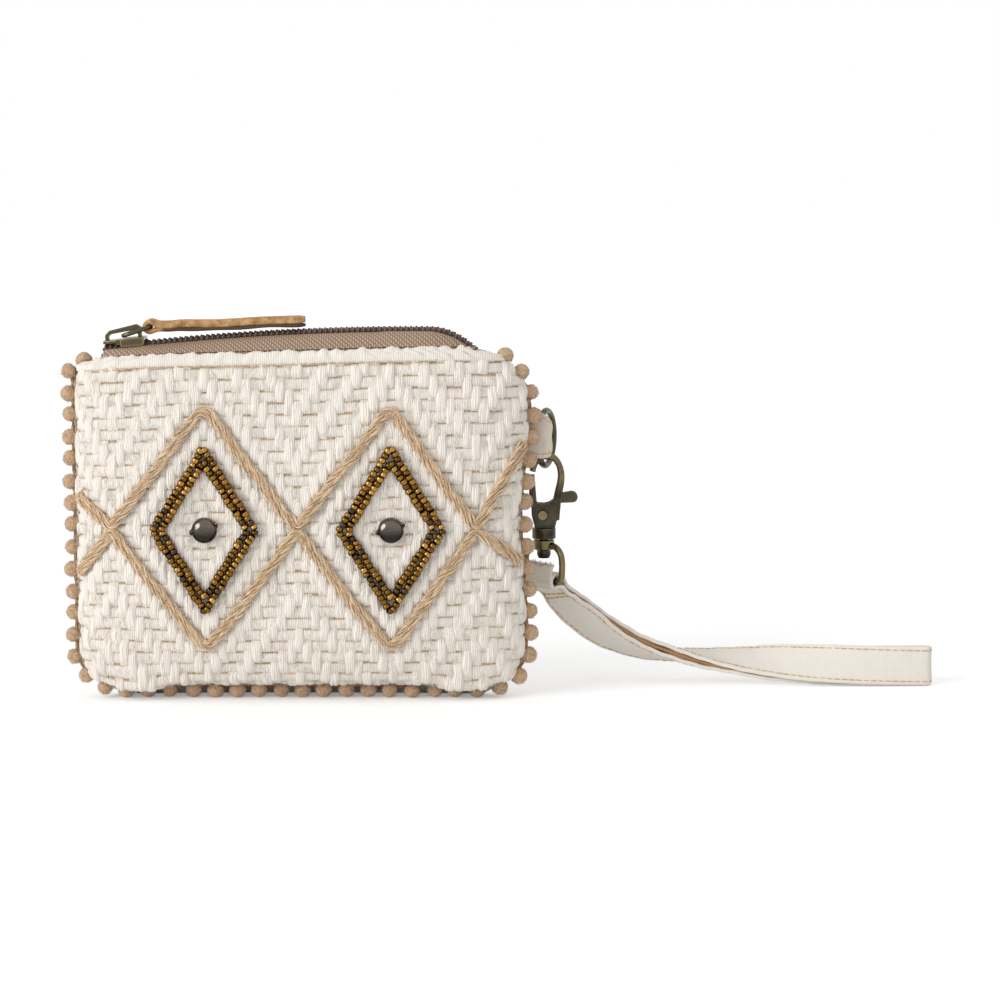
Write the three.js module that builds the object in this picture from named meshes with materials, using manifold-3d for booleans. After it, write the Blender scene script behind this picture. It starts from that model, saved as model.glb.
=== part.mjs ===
// A woven cotton pouch with a pompom trim, a zip across its mouth, and a wrist strap on a swivel hook.
// Millimetres. +X runs along the zip to the right, +Y from the patterned front to the back, +Z up.
// The origin is on the ground, under the middle pompom of the bottom seam.
import * as THREE from 'three';
import { mergeVertices } from 'three/addons/utils/BufferGeometryUtils.js';
import Module from 'manifold-3d';

const wasm = await Module();
wasm.setup();

// Clearances
const TOUCH_GAP = 0.3;
const RUN_GAP = 0.25;

// Pouch body
const SEAM_HALF_WIDTH = 67;
const SEAM_BOTTOM = 4.2;
const SEAM_HALF_GAP = 0.5;
const MOUTH_HEIGHT = 104.8;
const MOUTH_TILT = 1.6;
const MOUTH_END_DROP = 1.2;
const MOUTH_HALF_DEPTH = 10.5;
const FRONT_DEPTH = 14.5;
const BACK_DEPTH = 18;
const PANEL_WALL = 2;
const LINING_GAP = 0.5;
const LINING_WALL = 0.8;
const LINING_TOP_DROP = 1.5;
const BOTTOM_CORNER_RADIUS = 11;
const TOP_CORNER_RADIUS = 7;
const FRONT_CORNER_SAG = 2;
const BACK_SAG = 10;
const SAG_HEIGHT = 3;
const FULLEST_SHARE = 0.42;

// Pompom trim
const POMPOM_RADIUS = 2.2;
const POMPOM_PITCH = 6.63;
const POMPOM_OUTSET = 2.35;
const BRAID_THICKNESS = 0.4;
const BRAID_INSET = 1.9;
const BRAID_OUTSET = 0.8;
const TRIM_TOP_TURN = 0.78;

// Embroidery on the front panel
const CORD_GAP = 0.45;
const PATTERN_HALF_PITCH = 27.5;
const PATTERN_MIDDLE = 52.8;
const JUTE_HALF_HEIGHT = 35.7;
const JUTE_HALF_WIDTH = 1.8;
const JUTE_THICKNESS = 1.6;
const JUTE_EDGE_INSET = 3.2;
const BEAD_DIAMOND_HALF_WIDTH = 16.1;
const BEAD_DIAMOND_HALF_HEIGHT = 24.4;
const BEAD_RADIUS = 1;
const BEAD_ROW_GAP = 0.3;
const STUD_RADIUS = 3.85;
const STUD_HEIGHT = 2.65;
const STUD_PRONG_REACH = 1;
const STUD_PRONG_WIDTH = 1.2;
const STUD_PRONG_THICKNESS = 0.6;

// Zip
const ZIP_ARC_RADIUS = 750;
const ZIP_CREST_INSET = 34;
const ZIP_CREST_RISE = 6.3;
const ZIP_DIVE = 0.033;
const TAPE_THICKNESS = 0.7;
const TAPE_KNEE = 4.9;
const STOP_INSET = 9;
const LIP_LEFT_INSET = 31;
const LIP_RIGHT_INSET = 41.6;
const ZIP_RIGHT_INSET = 14.5;
const LIP_FOOT = 8.3;
const LIP_END_GAP = 0.4;
const COIL_INNER = 0.95;
const COIL_WIDTH = 2.1;
const COIL_HALF_HEIGHT = 0.9;
const ZIP_BAR_LENGTH = 1.1;
const BAR_INSET = 0.15;

// Slider and its pull
const SLIDER_LENGTH = 12.5;
const SLIDER_HALF_WIDTH = 4.2;
const SLIDER_NOSE_HALF_WIDTH = 2.6;
const SLIDER_PLATE = 1;
const SLIDER_FLANGE = 0.55;
const SLIDER_POST_LENGTH = 2.8;
const SLIDER_LIP_GAP = 0.9;
const CROWN_WIDTH = 2.6;
const CROWN_HEIGHT = 3.9;
const CROWN_BAR = 1.1;
const LINK_WIRE = 1.3;
const LINK_LENGTH = 8.4;
const LINK_TILT = 0.21;
const LEATHER_WIDTH = 6.5;
const LEATHER_LENGTH = 46;
const LEATHER_LAYER = 1.5;
const LEATHER_REST_GAP = 0.48;

// Tab and ring on the right-hand seam
const TAB_BOTTOM = 72.2;
const TAB_HEIGHT = 13.6;
const TAB_LOOP_HEIGHT = 9.4;
const TAB_LOOP_DROP = 1.1;
const TAB_REACH = 8.5;
const TAB_CLOTH = 1.1;
const TAB_FRONT = 2.5;
const RING_OUTER_RADIUS = 9.3;
const RING_WIRE = 2;
const RING_SEAT_INSET = 3.35;
const RING_DROP = 1.6;
const RING_TURN = 0.31;

// Swivel hook
const HOOK_THICKNESS = 4;
const HOOK_HOLE_HEIGHT = 13.2;
const HOOK_HALF_WIDTH = 4.9;
const HOOK_CLAW = 1.9;
const HOOK_CLAW_ROOT = 2.9;
const HOOK_CLAW_BULGE = 5.2;
const HOOK_BODY_HEIGHT = 7.5;
const HOOK_SLOT = 2.6;
const COLLAR_RADIUS = 3.65;
const COLLAR_HEIGHT = 3.3;
const TRIGGER_THICKNESS = 1.3;
const TRIGGER_REACH = 10.3;
const TRIGGER_RIVET_RADIUS = 0.75;
const TRIGGER_RIVET_HEAD = 1.45;
const TRIGGER_RIVET_X = -0.5;
const SWIVEL_PIN_RADIUS = 1.1;
const SWIVEL_HEAD_RADIUS = 2.15;
const SWIVEL_HEAD_HEIGHT = 2.3;
const EYE_HUB_RADIUS = 3.2;
const EYE_HUB_HEIGHT = 3.1;
const EYE_WIRE = 2;
const EYE_DROP = 10.3;
const EYE_TURN = -0.812;

// Wrist strap
const STRAP_WIDTH = 12;
const STRAP_THICKNESS = 1.5;
const STRAP_FOLD_GAP = 0.5;
const STRAP_SEWN_GAP = 0.4;
const STRAP_LOOP_GAP = 4.7;
const STRAP_SEWN_LENGTH = 10;
const STRAP_OPEN_LENGTH = 45;

// Materials
function finish(color, roughness, metalness = 0) {
  return new THREE.MeshStandardMaterial({ color, roughness, metalness });
}

const CREAM_COTTON = finish(0xe5dfd6, 0.9);
const LINING_COTTON = finish(0xcfc4b2, 0.9);
const TAN_WOOL = finish(0xcfb292, 0.95);
const JUTE = finish(0xcda573, 0.9);
const BRONZE_GLASS = finish(0x9a7440, 0.25, 0.7);
const GUNMETAL = finish(0x6d6157, 0.35, 0.9);
const BROWN_TAPE = finish(0xa08874, 0.85);
const BROWN_NYLON = finish(0x6b564a, 0.5);
const OLD_BRASS = finish(0x776b55, 0.4, 0.9);
const TAN_LEATHER = finish(0xb08a60, 0.6);
const STEEL = finish(0x8a8a88, 0.4, 0.9);

const pouch = new THREE.Group();

function addPart(name, geometry, material, parent = pouch) {
  const mesh = new THREE.Mesh(geometry, material);
  mesh.name = name;
  parent.add(mesh);
  return mesh;
}

// Closed meshes
function signedVolume(geometry) {
  const points = geometry.getAttribute('position');
  const index = geometry.getIndex().array;
  const corner = [new THREE.Vector3(), new THREE.Vector3(), new THREE.Vector3()];
  let volume = 0;
  for (let i = 0; i < index.length; i += 3) {
    corner.forEach((vertex, k) => vertex.fromBufferAttribute(points, index[i + k]));
    volume += corner[0].dot(corner[1].clone().cross(corner[2])) / 6;
  }
  return volume;
}

function closedMesh(points, triangles) {
  const geometry = new THREE.BufferGeometry();
  const numbers = points.flatMap((point) => [point.x, point.y, point.z]);
  geometry.setAttribute('position', new THREE.Float32BufferAttribute(numbers, 3));
  geometry.setIndex(triangles.flat());
  if (signedVolume(geometry) < 0) {
    geometry.setIndex(triangles.flatMap(([a, b, c]) => [a, c, b]));
  }
  return geometry;
}

// A solid through rings of points, with a fan over each end where the run of rings isn't closed.
function loft(rings, closed = false) {
  const sides = rings[0].length;
  const triangles = [];
  const spans = closed ? rings.length : rings.length - 1;
  for (let i = 0; i < spans; i += 1) {
    const here = i * sides;
    const next = ((i + 1) % rings.length) * sides;
    for (let j = 0; j < sides; j += 1) {
      const k = (j + 1) % sides;
      triangles.push([here + j, here + k, next + k], [here + j, next + k, next + j]);
    }
  }
  if (!closed) {
    const last = (rings.length - 1) * sides;
    for (let j = 1; j < sides - 1; j += 1) {
      triangles.push([0, j + 1, j], [last, last + j, last + j + 1]);
    }
  }
  return closedMesh(rings.flat(), triangles);
}

// A wall between two grids of points with the same rows and columns.
function shell(outer, inner) {
  const rows = outer.length;
  const columns = outer[0].length;
  const under = rows * columns;
  const at = (i, j) => i * columns + j;
  const triangles = [];
  for (let i = 0; i < rows - 1; i += 1) {
    for (let j = 0; j < columns - 1; j += 1) {
      const [a, b, c, d] = [at(i, j), at(i, j + 1), at(i + 1, j + 1), at(i + 1, j)];
      triangles.push([a, b, c], [a, c, d]);
      triangles.push([under + a, under + c, under + b], [under + a, under + d, under + c]);
    }
  }
  const rim = [];
  for (let j = 0; j < columns - 1; j += 1) rim.push(at(0, j));
  for (let i = 0; i < rows - 1; i += 1) rim.push(at(i, columns - 1));
  for (let j = columns - 1; j > 0; j -= 1) rim.push(at(rows - 1, j));
  for (let i = rows - 1; i > 0; i -= 1) rim.push(at(i, 0));
  rim.forEach((a, k) => {
    const b = rim[(k + 1) % rim.length];
    triangles.push([a, under + a, under + b], [a, under + b, b]);
  });
  return closedMesh([...outer.flat(), ...inner.flat()], triangles);
}

// Boolean work
function toSolid(geometry) {
  const bare = geometry.clone();
  bare.deleteAttribute('normal');
  bare.deleteAttribute('uv');
  const merged = mergeVertices(bare, 1e-4);
  const mesh = new wasm.Mesh({
    numProp: 3,
    vertProperties: new Float32Array(merged.getAttribute('position').array),
    triVerts: new Uint32Array(merged.getIndex().array),
  });
  return new wasm.Manifold(mesh);
}

function toGeometry(solid) {
  const mesh = solid.getMesh();
  const geometry = new THREE.BufferGeometry();
  geometry.setAttribute('position', new THREE.Float32BufferAttribute(mesh.vertProperties, 3));
  geometry.setIndex([...mesh.triVerts]);
  return geometry;
}

function join(first, ...others) {
  return toGeometry(others.reduce((solid, other) => solid.add(toSolid(other)), toSolid(first)));
}

function cut(body, ...tools) {
  return toGeometry(tools.reduce((solid, tool) => solid.subtract(toSolid(tool)), toSolid(body)));
}

function box(low, high) {
  const size = high.map((value, axis) => value - low[axis]);
  const geometry = new THREE.BoxGeometry(...size);
  return geometry.translate(...low.map((value, axis) => value + size[axis] / 2));
}

// A flat outline in the XZ plane given a thickness from y to y + thickness.
function plateXZ(shape, y, thickness) {
  const options = { depth: thickness, bevelEnabled: false, curveSegments: 6 };
  const geometry = new THREE.ExtrudeGeometry(shape, options);
  return geometry.rotateX(Math.PI / 2).translate(0, y + thickness, 0);
}

function outline(points) {
  return new THREE.Shape(points.map(([x, y]) => new THREE.Vector2(x, y)));
}

// A turned piece about a line along Z, from a profile of radius and height.
function turnedZ(profile, segments = 16) {
  const points = profile.map(([radius, height]) => new THREE.Vector2(radius, height));
  return new THREE.LatheGeometry(points, segments).rotateX(Math.PI / 2);
}

function pipe(inner, outer, low, high, segments = 16) {
  return turnedZ([[inner, low], [outer, low], [outer, high], [inner, high], [inner, low]], segments);
}

function rod(radius, low, high, segments = 16) {
  return turnedZ([[0, low], [radius, low], [radius, high], [0, high]], segments);
}

// A round wire along a curve.
function wire(curve, radius, steps, closed, sides = 8) {
  const frames = curve.computeFrenetFrames(steps, closed);
  const count = closed ? steps : steps + 1;
  const rings = Array.from({ length: count }, (_, i) => {
    const centre = curve.getPointAt(i / steps);
    return Array.from({ length: sides }, (__, j) => {
      const angle = (2 * Math.PI * j) / sides;
      return centre.clone()
        .addScaledVector(frames.normals[i], radius * Math.cos(angle))
        .addScaledVector(frames.binormals[i], radius * Math.sin(angle));
    });
  });
  return loft(rings, closed);
}

const spread = (count, place) => Array.from({ length: count + 1 }, (_, i) => place(i / count));

// The pouch's pillow shape: u runs from seam to seam, v from the bottom seam to the mouth
const across = (u) => Math.max(0, 1 - Math.abs(u) ** 3.2) ** 0.42;
const mouthTop = (u) => MOUTH_HEIGHT + MOUTH_TILT * u - MOUTH_END_DROP * u ** 6;

function swell(v, mouthShare) {
  if (v < FULLEST_SHARE) return (1 - (1 - v / FULLEST_SHARE) ** 2.5) ** 0.4;
  return 1 - (1 - mouthShare) * ((v - FULLEST_SHARE) / (1 - FULLEST_SHARE)) ** 2;
}

function cornerCut(height, radius) {
  if (height >= radius) return 0;
  return radius - Math.sqrt(radius ** 2 - (radius - height) ** 2);
}

function rowHalfWidth(v) {
  const tall = MOUTH_HEIGHT - SEAM_BOTTOM;
  const bottomCut = cornerCut(v * tall, BOTTOM_CORNER_RADIUS);
  return SEAM_HALF_WIDTH - bottomCut - cornerCut((1 - v) * tall, TOP_CORNER_RADIUS);
}

// The bottom of a filled panel sags below its seam: the back one onto the ground,
// the front one at its corners.
function sag(side, u, v) {
  const height = (v * (MOUTH_HEIGHT - SEAM_BOTTOM)) / SAG_HEIGHT;
  const drop = height ** 2 * Math.exp(2 * (1 - height));
  if (side > 0) return BACK_SAG * drop * (1 - u ** 8);
  return FRONT_CORNER_SAG * drop * Math.exp(-(((Math.abs(u) - 0.8) / 0.15) ** 2));
}

function panelPoint(side, u, v, inset) {
  const depth = (side < 0 ? FRONT_DEPTH : BACK_DEPTH) - inset;
  const bottom = SEAM_BOTTOM + inset;
  const height = bottom + (mouthTop(u) - bottom) * v - sag(side, u, v);
  const bulge = depth * across(u) * swell(v, (MOUTH_HALF_DEPTH - inset) / depth);
  const x = u * (rowHalfWidth(v) - inset);
  return new THREE.Vector3(x, side * (SEAM_HALF_GAP + bulge), Math.max(height, inset));
}

// Rows are close together along the bottom seam and round the top corners.
const TOP_CORNER_SHARE = 1 - TOP_CORNER_RADIUS / (MOUTH_HEIGHT - SEAM_BOTTOM);
const PANEL_ROWS = [
  ...spread(14, (share) => TOP_CORNER_SHARE * share ** 2.2),
  ...[0.4, 0.67, 0.87, 1].map((share) => TOP_CORNER_SHARE + (1 - TOP_CORNER_SHARE) * share),
];

function panelGrid(side, inset, top) {
  return PANEL_ROWS.map((row) => spread(18, (column) => {
    const u = Math.sin((Math.PI / 2) * (2 * column - 1));
    return panelPoint(side, u, top * row, inset);
  }));
}

const panelSolid = (side) => shell(panelGrid(side, 0, 1), panelGrid(side, PANEL_WALL, 1));

function liningSolid(side) {
  const inset = PANEL_WALL + LINING_GAP;
  const top = 1 - LINING_TOP_DROP / (MOUTH_HEIGHT - SEAM_BOTTOM);
  return shell(panelGrid(side, inset, top), panelGrid(side, inset + LINING_WALL, top));
}

// The front panel's outer face over a point of the pattern, and a point lifted off it.
function frontFace(x, z) {
  const guess = (z - SEAM_BOTTOM) / (MOUTH_HEIGHT - SEAM_BOTTOM);
  const u = x / rowHalfWidth(guess);
  const v = (z - SEAM_BOTTOM) / (mouthTop(u) - SEAM_BOTTOM);
  const bulge = FRONT_DEPTH * across(u) * swell(v, MOUTH_HALF_DEPTH / FRONT_DEPTH);
  return -(SEAM_HALF_GAP + bulge);
}

function offFront(x, z, lift) {
  const step = 0.5;
  const slopeX = (frontFace(x + step, z) - frontFace(x - step, z)) / (2 * step);
  const slopeZ = (frontFace(x, z + step) - frontFace(x, z - step)) / (2 * step);
  const normal = new THREE.Vector3(slopeX, -1, slopeZ).normalize();
  return new THREE.Vector3(x, frontFace(x, z), z).addScaledVector(normal, lift);
}

// A cord couched on the front panel: its section follows the face, and its corners are mitred.
function couchedCord(corners, section, closed, stepsPerLeg) {
  const legs = closed ? corners.length : corners.length - 1;
  const path = [];
  for (let leg = 0; leg < legs; leg += 1) {
    const from = corners[leg];
    const to = corners[(leg + 1) % corners.length];
    for (let i = 0; i < stepsPerLeg; i += 1) path.push(from.clone().lerp(to, i / stepsPerLeg));
  }
  if (!closed) path.push(corners[corners.length - 1].clone());
  const rings = path.map((point, i) => {
    const before = closed || i > 0 ? path[(i + path.length - 1) % path.length] : point;
    const after = closed || i < path.length - 1 ? path[(i + 1) % path.length] : point;
    const arrive = point.clone().sub(before);
    const leave = after.clone().sub(point);
    if (arrive.length() === 0) arrive.copy(leave);
    if (leave.length() === 0) leave.copy(arrive);
    const along = arrive.normalize().add(leave.normalize());
    const mitre = 2 / along.length();
    const sideways = new THREE.Vector2(-along.y, along.x).normalize().multiplyScalar(mitre);
    return section.map(([offset, lift]) => offFront(
      point.x + sideways.x * offset,
      point.y + sideways.y * offset,
      CORD_GAP + lift,
    ));
  });
  return loft(rings, closed);
}

// Panels and linings
const STUD_PRONG_X = STUD_RADIUS - STUD_PRONG_THICKNESS - 0.3;
const PRONG_SIDES = [-1, 1];

function prong(x, side, clearance) {
  const face = frontFace(x, PATTERN_MIDDLE);
  const middle = x + side * STUD_PRONG_X;
  const halfX = STUD_PRONG_THICKNESS / 2 + clearance;
  const halfZ = STUD_PRONG_WIDTH / 2 + clearance;
  return box(
    [middle - halfX, face - TOUCH_GAP - STUD_PRONG_THICKNESS, PATTERN_MIDDLE - halfZ],
    [middle + halfX, face + STUD_PRONG_REACH + clearance, PATTERN_MIDDLE + halfZ],
  );
}

const STUD_X = { left: -PATTERN_HALF_PITCH, right: PATTERN_HALF_PITCH };
const prongSlits = Object.values(STUD_X).flatMap((x) => PRONG_SIDES.map((side) => prong(x, side, TOUCH_GAP)));
addPart('front_panel', cut(panelSolid(-1), ...prongSlits), CREAM_COTTON);
addPart('back_panel', panelSolid(1), CREAM_COTTON);
addPart('front_lining', liningSolid(-1), LINING_COTTON);
addPart('back_lining', liningSolid(1), LINING_COTTON);

// Pompom trim: a flat braid caught in the seam, with balls along its outer edge.
// The path runs outward of the seam by a given amount, and is measured from the middle of the bottom.
const FLAT_HALF = SEAM_HALF_WIDTH - BOTTOM_CORNER_RADIUS;
const CORNER_LENGTH = (Math.PI / 2) * (BOTTOM_CORNER_RADIUS + POMPOM_OUTSET);
const SIDE_LENGTH = MOUTH_HEIGHT - TOP_CORNER_RADIUS - SEAM_BOTTOM - BOTTOM_CORNER_RADIUS;
const TOP_ARC = TOP_CORNER_RADIUS + POMPOM_OUTSET;
const TRIM_END = FLAT_HALF + CORNER_LENGTH + SIDE_LENGTH + TRIM_TOP_TURN * TOP_ARC;

function trimPoint(distance, outset) {
  const side = Math.sign(distance);
  const along = Math.abs(distance);
  const cornerZ = SEAM_BOTTOM + BOTTOM_CORNER_RADIUS;
  if (along <= FLAT_HALF) return [distance, SEAM_BOTTOM - outset];
  const turn = (along - FLAT_HALF) / CORNER_LENGTH;
  const radius = BOTTOM_CORNER_RADIUS + outset;
  if (turn <= 1) {
    const angle = (turn * Math.PI) / 2;
    return [side * (FLAT_HALF + radius * Math.sin(angle)), cornerZ - radius * Math.cos(angle)];
  }
  const climb = along - FLAT_HALF - CORNER_LENGTH;
  const rest = climb - SIDE_LENGTH;
  if (rest <= 0) return [side * (FLAT_HALF + radius), cornerZ + climb];
  const lean = rest / TOP_ARC;
  const arc = TOP_CORNER_RADIUS + outset;
  return [
    side * (SEAM_HALF_WIDTH - TOP_CORNER_RADIUS + arc * Math.cos(lean)),
    MOUTH_HEIGHT - TOP_CORNER_RADIUS + arc * Math.sin(lean),
  ];
}

function trimRun(places, isHere) {
  const rings = places.map((distance) => {
    const [innerX, innerZ] = trimPoint(distance, -BRAID_INSET);
    const [outerX, outerZ] = trimPoint(distance, BRAID_OUTSET);
    const half = BRAID_THICKNESS / 2;
    return [[innerX, -half, innerZ], [outerX, -half, outerZ], [outerX, half, outerZ], [innerX, half, innerZ]]
      .map((numbers) => new THREE.Vector3(...numbers));
  });
  const reach = Math.floor(TRIM_END / POMPOM_PITCH);
  const balls = [];
  for (let k = -reach; k <= reach; k += 1) {
    const distance = k * POMPOM_PITCH;
    const [x, z] = trimPoint(distance, POMPOM_OUTSET);
    const ball = new THREE.SphereGeometry(POMPOM_RADIUS, 7, 5).rotateX(Math.PI / 2);
    if (isHere(distance)) balls.push(ball.translate(x, 0, z));
  }
  const wide = 2 * SEAM_HALF_WIDTH;
  const ground = box([-wide, -wide, -wide], [wide, wide, 0]);
  return cut(join(loft(rings), ...balls), ground);
}

const TRIM_SPLIT = POMPOM_PITCH * (Math.floor(FLAT_HALF / POMPOM_PITCH) + 0.5);
const splitGap = TOUCH_GAP / 2;
const bottomEnd = TRIM_SPLIT - splitGap;
const sideStart = TRIM_SPLIT + splitGap;
const flatPlaces = [-bottomEnd, -FLAT_HALF, FLAT_HALF, bottomEnd];
const cornerPlaces = spread(6, (share) => FLAT_HALF + CORNER_LENGTH * share);
const topStart = FLAT_HALF + CORNER_LENGTH + SIDE_LENGTH;
const topPlaces = spread(4, (share) => topStart + (TRIM_END - topStart) * share);
const sidePlaces = [sideStart, ...cornerPlaces.filter((place) => place > sideStart), ...topPlaces];
addPart('trim_left', trimRun(sidePlaces.map((place) => -place), (d) => d < -TRIM_SPLIT), TAN_WOOL);
addPart('trim_bottom', trimRun(flatPlaces, (d) => Math.abs(d) < TRIM_SPLIT), TAN_WOOL);
addPart('trim_right', trimRun(sidePlaces, (d) => d > TRIM_SPLIT), TAN_WOOL);

// Jute zigzags: they meet edge to edge on the pattern's middle line, with peaks over and under each diamond.
const juteSection = [
  [-JUTE_HALF_WIDTH, 0], [JUTE_HALF_WIDTH, 0], [JUTE_HALF_WIDTH * 0.85, JUTE_THICKNESS * 0.7],
  [JUTE_HALF_WIDTH * 0.35, JUTE_THICKNESS], [-JUTE_HALF_WIDTH * 0.35, JUTE_THICKNESS],
  [-JUTE_HALF_WIDTH * 0.85, JUTE_THICKNESS * 0.7],
];

function juteCorners(side) {
  const slope = JUTE_HALF_HEIGHT / PATTERN_HALF_PITCH;
  const meet = (JUTE_HALF_WIDTH + TOUCH_GAP / 2) * Math.hypot(1, slope);
  const end = SEAM_HALF_WIDTH - JUTE_EDGE_INSET;
  const endRise = meet + (end - 2 * PATTERN_HALF_PITCH) * slope;
  const peak = JUTE_HALF_HEIGHT;
  const places = [
    [-end, endRise], [-2, meet], [-1, peak], [0, meet], [1, peak], [2, meet], [end, endRise],
  ];
  return places.map(([place, rise]) => {
    const x = Math.abs(place) > 2 ? place : place * PATTERN_HALF_PITCH;
    return new THREE.Vector2(x, PATTERN_MIDDLE + side * rise);
  });
}

addPart('jute_upper', couchedCord(juteCorners(1), juteSection, false, 5), JUTE);
addPart('jute_lower', couchedCord(juteCorners(-1), juteSection, false, 5), JUTE);

// Bead rows: two strings of beads make the frame of each diamond.
const beadSection = [0, 1, 2, 3, 4, 5].map((k) => {
  const angle = (Math.PI / 3) * k;
  return [BEAD_RADIUS * Math.cos(angle), BEAD_RADIUS * (1 + Math.sin(angle))];
});

function beadRow(centre, row) {
  const inset = BEAD_RADIUS + row * (2 * BEAD_RADIUS + BEAD_ROW_GAP);
  const apothem = (BEAD_DIAMOND_HALF_WIDTH * BEAD_DIAMOND_HALF_HEIGHT)
    / Math.hypot(BEAD_DIAMOND_HALF_WIDTH, BEAD_DIAMOND_HALF_HEIGHT);
  const share = 1 - inset / apothem;
  const corners = [[1, 0], [0, 1], [-1, 0], [0, -1]].map(([i, k]) => new THREE.Vector2(
    centre + i * share * BEAD_DIAMOND_HALF_WIDTH,
    PATTERN_MIDDLE + k * share * BEAD_DIAMOND_HALF_HEIGHT,
  ));
  return couchedCord(corners, beadSection, true, 4);
}

function studSolid(x) {
  const profile = [[0, 0], [1, 0], [0.96, 0.35], [0.76, 0.72], [0.4, 0.94], [0, 1]]
    .map(([radius, height]) => new THREE.Vector2(radius * STUD_RADIUS, height * STUD_HEIGHT));
  const dome = new THREE.LatheGeometry(profile, 16).rotateX(Math.PI);
  dome.translate(x, frontFace(x, PATTERN_MIDDLE) - TOUCH_GAP, PATTERN_MIDDLE);
  return join(dome, ...PRONG_SIDES.map((side) => prong(x, side, 0)));
}

for (const [hand, x] of Object.entries(STUD_X)) {
  addPart(`bead_row_outer_${hand}`, beadRow(x, 0), BRONZE_GLASS);
  addPart(`bead_row_inner_${hand}`, beadRow(x, 1), BRONZE_GLASS);
  addPart(`stud_${hand}`, studSolid(x), GUNMETAL);
}

// Zip: the coil follows a shallow arc, and dives into the seam past the slider's right-hand stop.
const ZIP_CREST_X = SEAM_HALF_WIDTH - ZIP_CREST_INSET;
const STOP_LEFT = STOP_INSET - SEAM_HALF_WIDTH;
const LIP_LEFT = LIP_LEFT_INSET - SEAM_HALF_WIDTH;
const LIP_RIGHT = SEAM_HALF_WIDTH - LIP_RIGHT_INSET;
const ZIP_CENTRE_Z = MOUTH_HEIGHT + ZIP_CREST_RISE - ZIP_ARC_RADIUS;
const SLIDER_REST_X = STOP_LEFT + SLIDER_LENGTH / 2;
const SLIDER_FAR_X = LIP_RIGHT + SLIDER_LIP_GAP + SLIDER_LENGTH / 2;
const DIVE_START = SLIDER_FAR_X + SLIDER_LENGTH / 2 + TOUCH_GAP;
const COIL_OUTER = COIL_INNER + COIL_WIDTH;

function coilZ(x) {
  const arc = ZIP_CENTRE_Z + Math.sqrt(ZIP_ARC_RADIUS ** 2 - (x - ZIP_CREST_X) ** 2);
  return x > DIVE_START ? arc - ZIP_DIVE * (x - DIVE_START) ** 2 : arc;
}

function rimAt(x) {
  const u = x / rowHalfWidth(1);
  return { y: SEAM_HALF_GAP + MOUTH_HALF_DEPTH * across(u), z: mouthTop(u) };
}

// A bent strip across the zip: points run from its foot to its coil edge, each with a thickness.
function stripGrids(stations, side) {
  const grids = { top: [], bottom: [] };
  for (const { x, points } of stations) {
    const normals = points.map((point, i) => {
      const before = points[Math.max(0, i - 1)];
      const after = points[Math.min(points.length - 1, i + 1)];
      return new THREE.Vector2(after[1] - before[1], before[0] - after[0]).normalize();
    });
    const offset = (sign) => points.map(([y, z, thickness], i) => new THREE.Vector3(
      x,
      side * (y + (sign * normals[i].x * thickness) / 2),
      z + (sign * normals[i].y * thickness) / 2,
    ));
    grids.top.push(offset(1));
    grids.bottom.push(offset(-1));
  }
  return grids;
}

function strip(stations, side) {
  const { top, bottom } = stripGrids(stations, side);
  return shell(top, bottom);
}

const lipFootZ = (x) => {
  const seat = TOUCH_GAP + TAPE_THICKNESS / 2;
  const share = (x - LIP_LEFT) / (LIP_RIGHT - LIP_LEFT);
  const from = rimAt(LIP_LEFT).z;
  return from + (rimAt(LIP_RIGHT).z - from) * share + seat + TOUCH_GAP;
};

function lipTape(side) {
  const stations = spread(10, (share) => {
    const x = LIP_LEFT + (LIP_RIGHT - LIP_LEFT) * share;
    const z = coilZ(x);
    const edge = COIL_OUTER + TOUCH_GAP;
    const points = [[LIP_FOOT, lipFootZ(x)], [TAPE_KNEE, z], [edge, z]];
    return { x, points: points.map((point) => [...point, TAPE_THICKNESS]) };
  });
  return strip(stations, side);
}

function lipCoil(side) {
  const bevel = COIL_HALF_HEIGHT / 2;
  const section = [
    [COIL_INNER, -bevel], [COIL_INNER + bevel, -COIL_HALF_HEIGHT], [COIL_OUTER - bevel, -COIL_HALF_HEIGHT],
    [COIL_OUTER, -bevel], [COIL_OUTER, bevel], [COIL_OUTER - bevel, COIL_HALF_HEIGHT],
    [COIL_INNER + bevel, COIL_HALF_HEIGHT], [COIL_INNER, bevel],
  ];
  return loft(spread(10, (share) => {
    const x = LIP_LEFT + (LIP_RIGHT - LIP_LEFT) * share;
    return section.map(([y, z]) => new THREE.Vector3(x, side * y, coilZ(x) + z));
  }));
}

for (const [face, side] of [['front', -1], ['back', 1]]) {
  addPart(`${face}_tape`, lipTape(side), BROWN_TAPE);
  addPart(`${face}_coil`, lipCoil(side), BROWN_NYLON);
}

// The zip's two ends: tape and coil of both sides, sewn together past the slider's stop.
function zipEnd(places, barFrom) {
  const arm = (side) => strip(places.map((x) => {
    const rim = rimAt(x);
    const z = coilZ(x);
    const foot = rim.y - PANEL_WALL / 2;
    const seat = rim.z + TOUCH_GAP + TAPE_THICKNESS / 2;
    const knee = Math.min(TAPE_KNEE, foot + 1);
    const points = [
      [foot, seat, TAPE_THICKNESS], [knee, Math.max(z, seat), TAPE_THICKNESS],
      [COIL_OUTER + TOUCH_GAP, z, TAPE_THICKNESS], [COIL_OUTER, z, 2 * COIL_HALF_HEIGHT],
      [COIL_INNER, z, 2 * COIL_HALF_HEIGHT],
    ];
    return { x, points };
  }), side);
  const barZ = coilZ(barFrom + ZIP_BAR_LENGTH / 2);
  const [halfWidth, halfHeight] = [COIL_OUTER - BAR_INSET, COIL_HALF_HEIGHT - BAR_INSET];
  const bar = box(
    [barFrom, -halfWidth, barZ - halfHeight],
    [barFrom + ZIP_BAR_LENGTH, halfWidth, barZ + halfHeight],
  );
  return join(arm(-1), arm(1), bar);
}

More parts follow.
